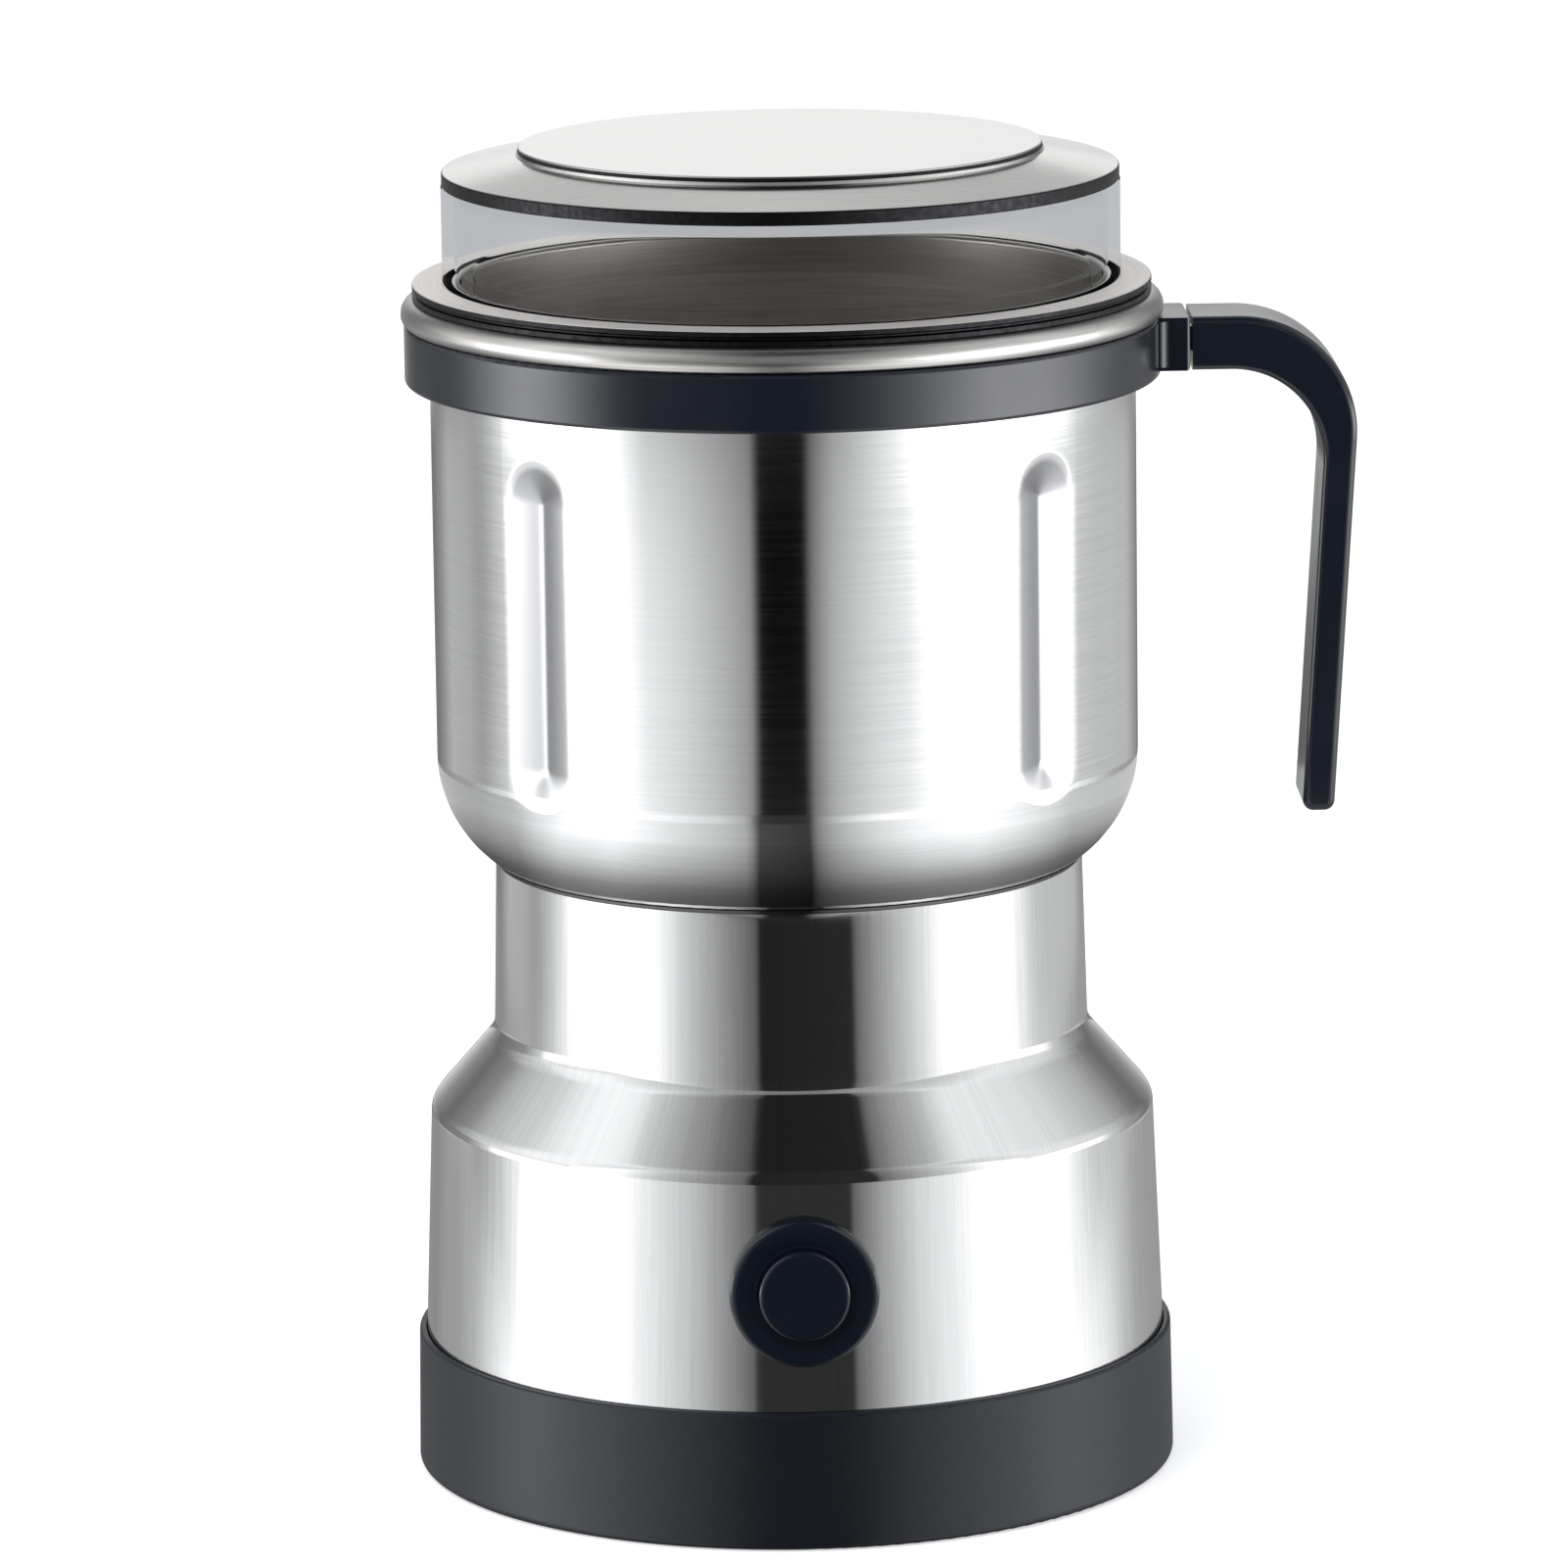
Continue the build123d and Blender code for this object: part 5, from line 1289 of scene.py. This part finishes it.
    def blend(self, tree: Tree, value: Link, low: float, high: float, first: object, second: object) -> Link:
        """Goes smoothly from the first colour to the second as a value passes from low to high.

        Args:
            tree: the node tree.
            value: what decides.
            low: where the first colour ends.
            high: where the second colour begins; it may be the lesser.
            first: colour, or what gives it.
            second: colour, or what gives it.

        Returns:
            The blended colour.
        """
        ends = {"From Min": min(low, high), "From Max": max(low, high)}
        share = add_node(tree, "MapRange", {"Value": value, "To Min": float(low > high), "To Max": float(low < high),
                                            **ends}, interpolation_type="SMOOTHSTEP")
        return add_node(tree, "Mix", {"Factor": share, 6: first, 7: second}, data_type="RGBA").outputs[2]

    def reflected(self, tree: Tree) -> Link:
        """What polished surfaces see: two softboxes at the sides, a narrow dark flag at the camera, dark ground.

        The level table holds from about 9 to 11 degrees below the horizon. Each band's table takes over as a ray
        rises or falls from the band's first number of degrees to its second. Steeply falling rays see the ground,
        and steeply rising ones the roof.

        Args:
            tree: the world's tree.

        Returns:
            The colour, as a share of the brightest value.
        """
        way = add_node(tree, "TexCoord").outputs["Generated"]
        x, y, z = add_node(tree, "SeparateXYZ", {0: way}).outputs
        turn = self.turn_of(tree, x, y)
        rise = add_node(tree, "Math", {0: z}, operation="ARCSINE")
        rise = add_node(tree, "Math", {0: rise, 1: 180 / math.pi}, operation="MULTIPLY")
        colour = self.graded(tree, turn, self.level, 360, self.brightest)
        for low, high, stops in self.bands:
            colour = self.blend(tree, rise, low, high, colour, self.graded(tree, turn, stops, 360, self.brightest))
        ground = add_node(tree, "Mix", {"Factor": 1.0, 6: colour, 7: grey(self.ground_share)}, data_type="RGBA",
                          blend_type="MULTIPLY").outputs[2]
        colour = self.blend(tree, rise, *self.ground_rise, colour, ground)
        side = add_node(tree, "Math", {0: x, 1: 0.5, 2: 0.5}, operation="MULTIPLY_ADD")
        roof = self.graded(tree, side, self.roof, 2, self.brightest)
        roof = self.blend(tree, y, *self.away_depth, roof, grey(self.away_brightness / self.brightest))
        return self.blend(tree, rise, *self.roof_rise, colour, roof)

    def make_world(self) -> None:
        """White for the camera and through the lid, the studio for reflections, even light for the rest."""
        world = bpy.data.worlds.new("studio")
        world.use_nodes = True
        tree = world.node_tree
        tree.nodes.clear()
        bpy.context.scene.world = world
        path = add_node(tree, "LightPath").outputs
        straight = add_node(tree, "Math", {0: path["Ray Depth"], 1: path["Transmission Depth"]}, operation="SUBTRACT")
        seen = add_node(tree, "Math", {0: straight, 1: 0.5}, operation="LESS_THAN")
        mirrored = add_node(tree, "Background", {"Color": self.reflected(tree), "Strength": self.brightest})
        plain = add_node(tree, "Background", {"Color": linear(self.fill_colour), "Strength": self.fill_strength})
        white = add_node(tree, "Background", {"Color": grey(1.0), "Strength": 1.0})
        lit = add_node(tree, "MixShader", {0: path["Is Glossy Ray"], 1: plain, 2: mirrored})
        shown = add_node(tree, "MixShader", {0: seen, 1: lit, 2: white})
        add_node(tree, "OutputWorld", {"Surface": shown})

    def make_lamp(self) -> None:
        """One broad lamp overhead, which gives the floor its soft shadow and leaves no mirror image."""
        lamp = bpy.data.lights.new("overhead_softbox", "AREA")
        lamp.shape = "DISK"
        lamp.size = self.lamp_size * MM
        lamp.energy = self.lamp_energy
        holder = bpy.data.objects.new("overhead_softbox", lamp)
        holder.location = Vector(self.lamp_place) * MM
        holder.rotation_mode = "QUATERNION"
        holder.rotation_quaternion = (-Vector(self.lamp_place)).to_track_quat("-Z", "Y")
        holder.visible_glossy = False
        holder.visible_camera = False
        bpy.context.scene.collection.objects.link(holder)

    def make_floor(self) -> None:
        """A pale painted floor, just under the feet, that takes the shadow."""
        material, tree = start_material("painted_floor_pale")
        camera = add_node(tree, "LightPath").outputs["Is Camera Ray"]
        paint = add_node(tree, "BsdfDiffuse", {"Color": linear(self.floor_colour)})
        soft = add_node(tree, "Math", {0: camera, 1: self.floor_glow}, operation="MULTIPLY")
        glow = add_node(tree, "Emission", {"Color": grey(1.0), "Strength": soft})
        add_node(tree, "OutputMaterial", {"Surface": add_node(tree, "AddShader", {0: paint, 1: glow})})
        reach, low = self.floor_reach, -self.floor_drop
        corners = np.array([(-reach, -reach, low), (reach, -reach, low), (reach, reach, low), (-reach, reach, low)])
        floor = make_piece("studio_floor", corners, np.arange(4)[None], [material])
        floor.visible_glossy = False

    def make_card(self) -> None:
        """A small graded card close in front of the housing, which only reflections see.

        Its middle is black, and it grows brighter towards both sides, faster where the lower wall sees it than
        where the neck does.
        """
        material, tree = start_material("graded_card")
        place = add_node(tree, "TexCoord").outputs["Object"]
        x, _, z = add_node(tree, "SeparateXYZ", {0: place}).outputs
        reach, depth, low, high = self.card_reach, -self.card_distance, self.card_low, self.card_high
        share = add_node(tree, "MapRange", {"Value": x, "From Min": -reach * MM, "From Max": reach * MM})
        at_wall, at_neck = (self.graded(tree, share, stops, 2 * reach, self.card_brightest)
                            for stops in (self.card_at_wall, self.card_at_neck))
        shade = self.blend(tree, z, self.card_seam[0] * MM, self.card_seam[1] * MM, at_wall, at_neck)
        glow = add_node(tree, "Emission", {"Color": shade, "Strength": self.card_brightest})
        add_node(tree, "OutputMaterial", {"Surface": glow})
        corners = np.array([(-reach, depth, low), (reach, depth, low), (reach, depth, high), (-reach, depth, high)])
        self.hide_card(make_piece("graded_card", corners, np.arange(4)[None], [material]))

    def hide_card(self, card: bpy.types.Object) -> None:
        """Leaves a card to the reflections alone.

        Args:
            card: the card.
        """
        card.visible_camera = False
        card.visible_diffuse = False
        card.visible_transmission = False
        card.visible_shadow = False

    def make_ring(self) -> None:
        """A graded ring close under the cup, which only reflections in its rounded bottom see, from above.

        Each column has a point at the ring's inner radius and one at its outer radius. The brightness by direction
        is multiplied by a share that falls towards the neck, and its pattern widens a little outwards.
        """
        material, tree = start_material("graded_ring")
        place = add_node(tree, "TexCoord").outputs["Object"]
        x, y, _ = add_node(tree, "SeparateXYZ", {0: place}).outputs
        flat = add_node(tree, "VectorMath", {0: place, 1: (1.0, 1.0, 0.0)}, operation="MULTIPLY")
        radius = add_node(tree, "VectorMath", {0: flat}, operation="LENGTH").outputs["Value"]
        start, outer = self.ring_shade_start, self.ring_outer
        widening = add_node(tree, "MapRange", {
            "Value": radius, "From Min": self.ring_widening_start * MM, "From Max": outer * MM, "To Min": 1.0,
            "To Max": self.ring_widening})
        offset = add_node(tree, "Math", {0: self.turn_of(tree, x, y), 1: 0.5}, operation="SUBTRACT")
        turn = add_node(tree, "Math", {0: offset, 1: widening, 2: 0.5}, operation="MULTIPLY_ADD")
        around = self.graded(tree, turn, self.ring_around, 360, self.card_brightest)
        across = add_node(tree, "MapRange", {"Value": radius, "From Min": start * MM, "From Max": outer * MM})
        outwards = set_ramp(add_node(tree, "ValToRGB", {"Fac": across}),
                            [((mm - start) / (outer - start), grey(value)) for mm, value in self.ring_outwards])
        shade = add_node(tree, "Mix", {"Factor": 1.0, 6: around, 7: outwards}, data_type="RGBA",
                         blend_type="MULTIPLY").outputs[2]
        glow = add_node(tree, "Emission", {"Color": shade, "Strength": self.card_brightest})
        clear = add_node(tree, "BsdfTransparent")
        below = add_node(tree, "NewGeometry").outputs["Backfacing"]
        add_node(tree, "OutputMaterial", {"Surface": add_node(tree, "MixShader", {0: below, 1: glow, 2: clear})})
        outline = np.array(((self.ring_inner, self.ring_height), (outer, self.ring_height)))
        grid = revolve(outline, even_angles(self.ring_columns))
        quads = grid_faces(self.ring_columns, 2, True)[0][:, 0, ::-1]
        self.hide_card(make_piece("graded_ring", grid.reshape(-1, 3), quads, [material]))

    def make_camera(self) -> None:
        """A long lens a little above the object, turned and rolled as measured.

        The camera stands at the target plus its distance along the line of sight; its right and up axes are
        turned about that line by the roll.
        """
        turn, rise, roll = (math.radians(degrees) for degrees in (
            self.camera_azimuth, self.camera_elevation, self.camera_roll))
        back = Vector((math.sin(turn) * math.cos(rise), -math.cos(turn) * math.cos(rise), math.sin(rise)))
        right = Vector((math.cos(turn), math.sin(turn), 0))
        up = back.cross(right)
        axis_x = math.cos(roll) * right - math.sin(roll) * up
        axis_y = math.sin(roll) * right + math.cos(roll) * up
        target = self.target_right * right + Vector((0, 0, self.target_height))
        data = bpy.data.cameras.new("camera")
        data.lens = self.lens
        data.sensor_width = self.sensor
        data.clip_start = self.clip_near * MM
        data.clip_end = self.clip_far * MM
        camera = bpy.data.objects.new("camera", data)
        bpy.context.scene.collection.objects.link(camera)
        turned = Matrix((axis_x, axis_y, back)).transposed().to_4x4()
        camera.matrix_world = Matrix.Translation((target + self.camera_distance * back) * MM) @ turned
        bpy.context.scene.camera = camera

    def build(self) -> None:
        """Makes the world, the lamp, the floor, the card, the ring and the camera."""
        self.make_world()
        self.make_lamp()
        self.make_floor()
        self.make_card()
        self.make_ring()
        self.make_camera()
        bpy.context.scene.view_settings.view_transform = "Standard"


def main() -> None:
    """Builds the sub-assemblies in order, dresses the rest and sets up the studio."""
    logging.basicConfig(level=logging.INFO, format="%(name)s: %(message)s")
    shop = Workshop()
    cup = Cup()
    cup.make_sleeve(shop)
    cup.make_bowl(shop)
    Housing().make(shop)
    lid = Lid()
    lid.make_shell(shop)
    lid.make_cap(shop)
    SwitchSpring().make(shop)
    for node in DRESSING:
        shop.dress_node(node)
    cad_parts["handle"].visible_glossy = False    # the strap leaves no mirror image on the brushed steel
    Studio().build()


if __name__ == "__main__":
    main()
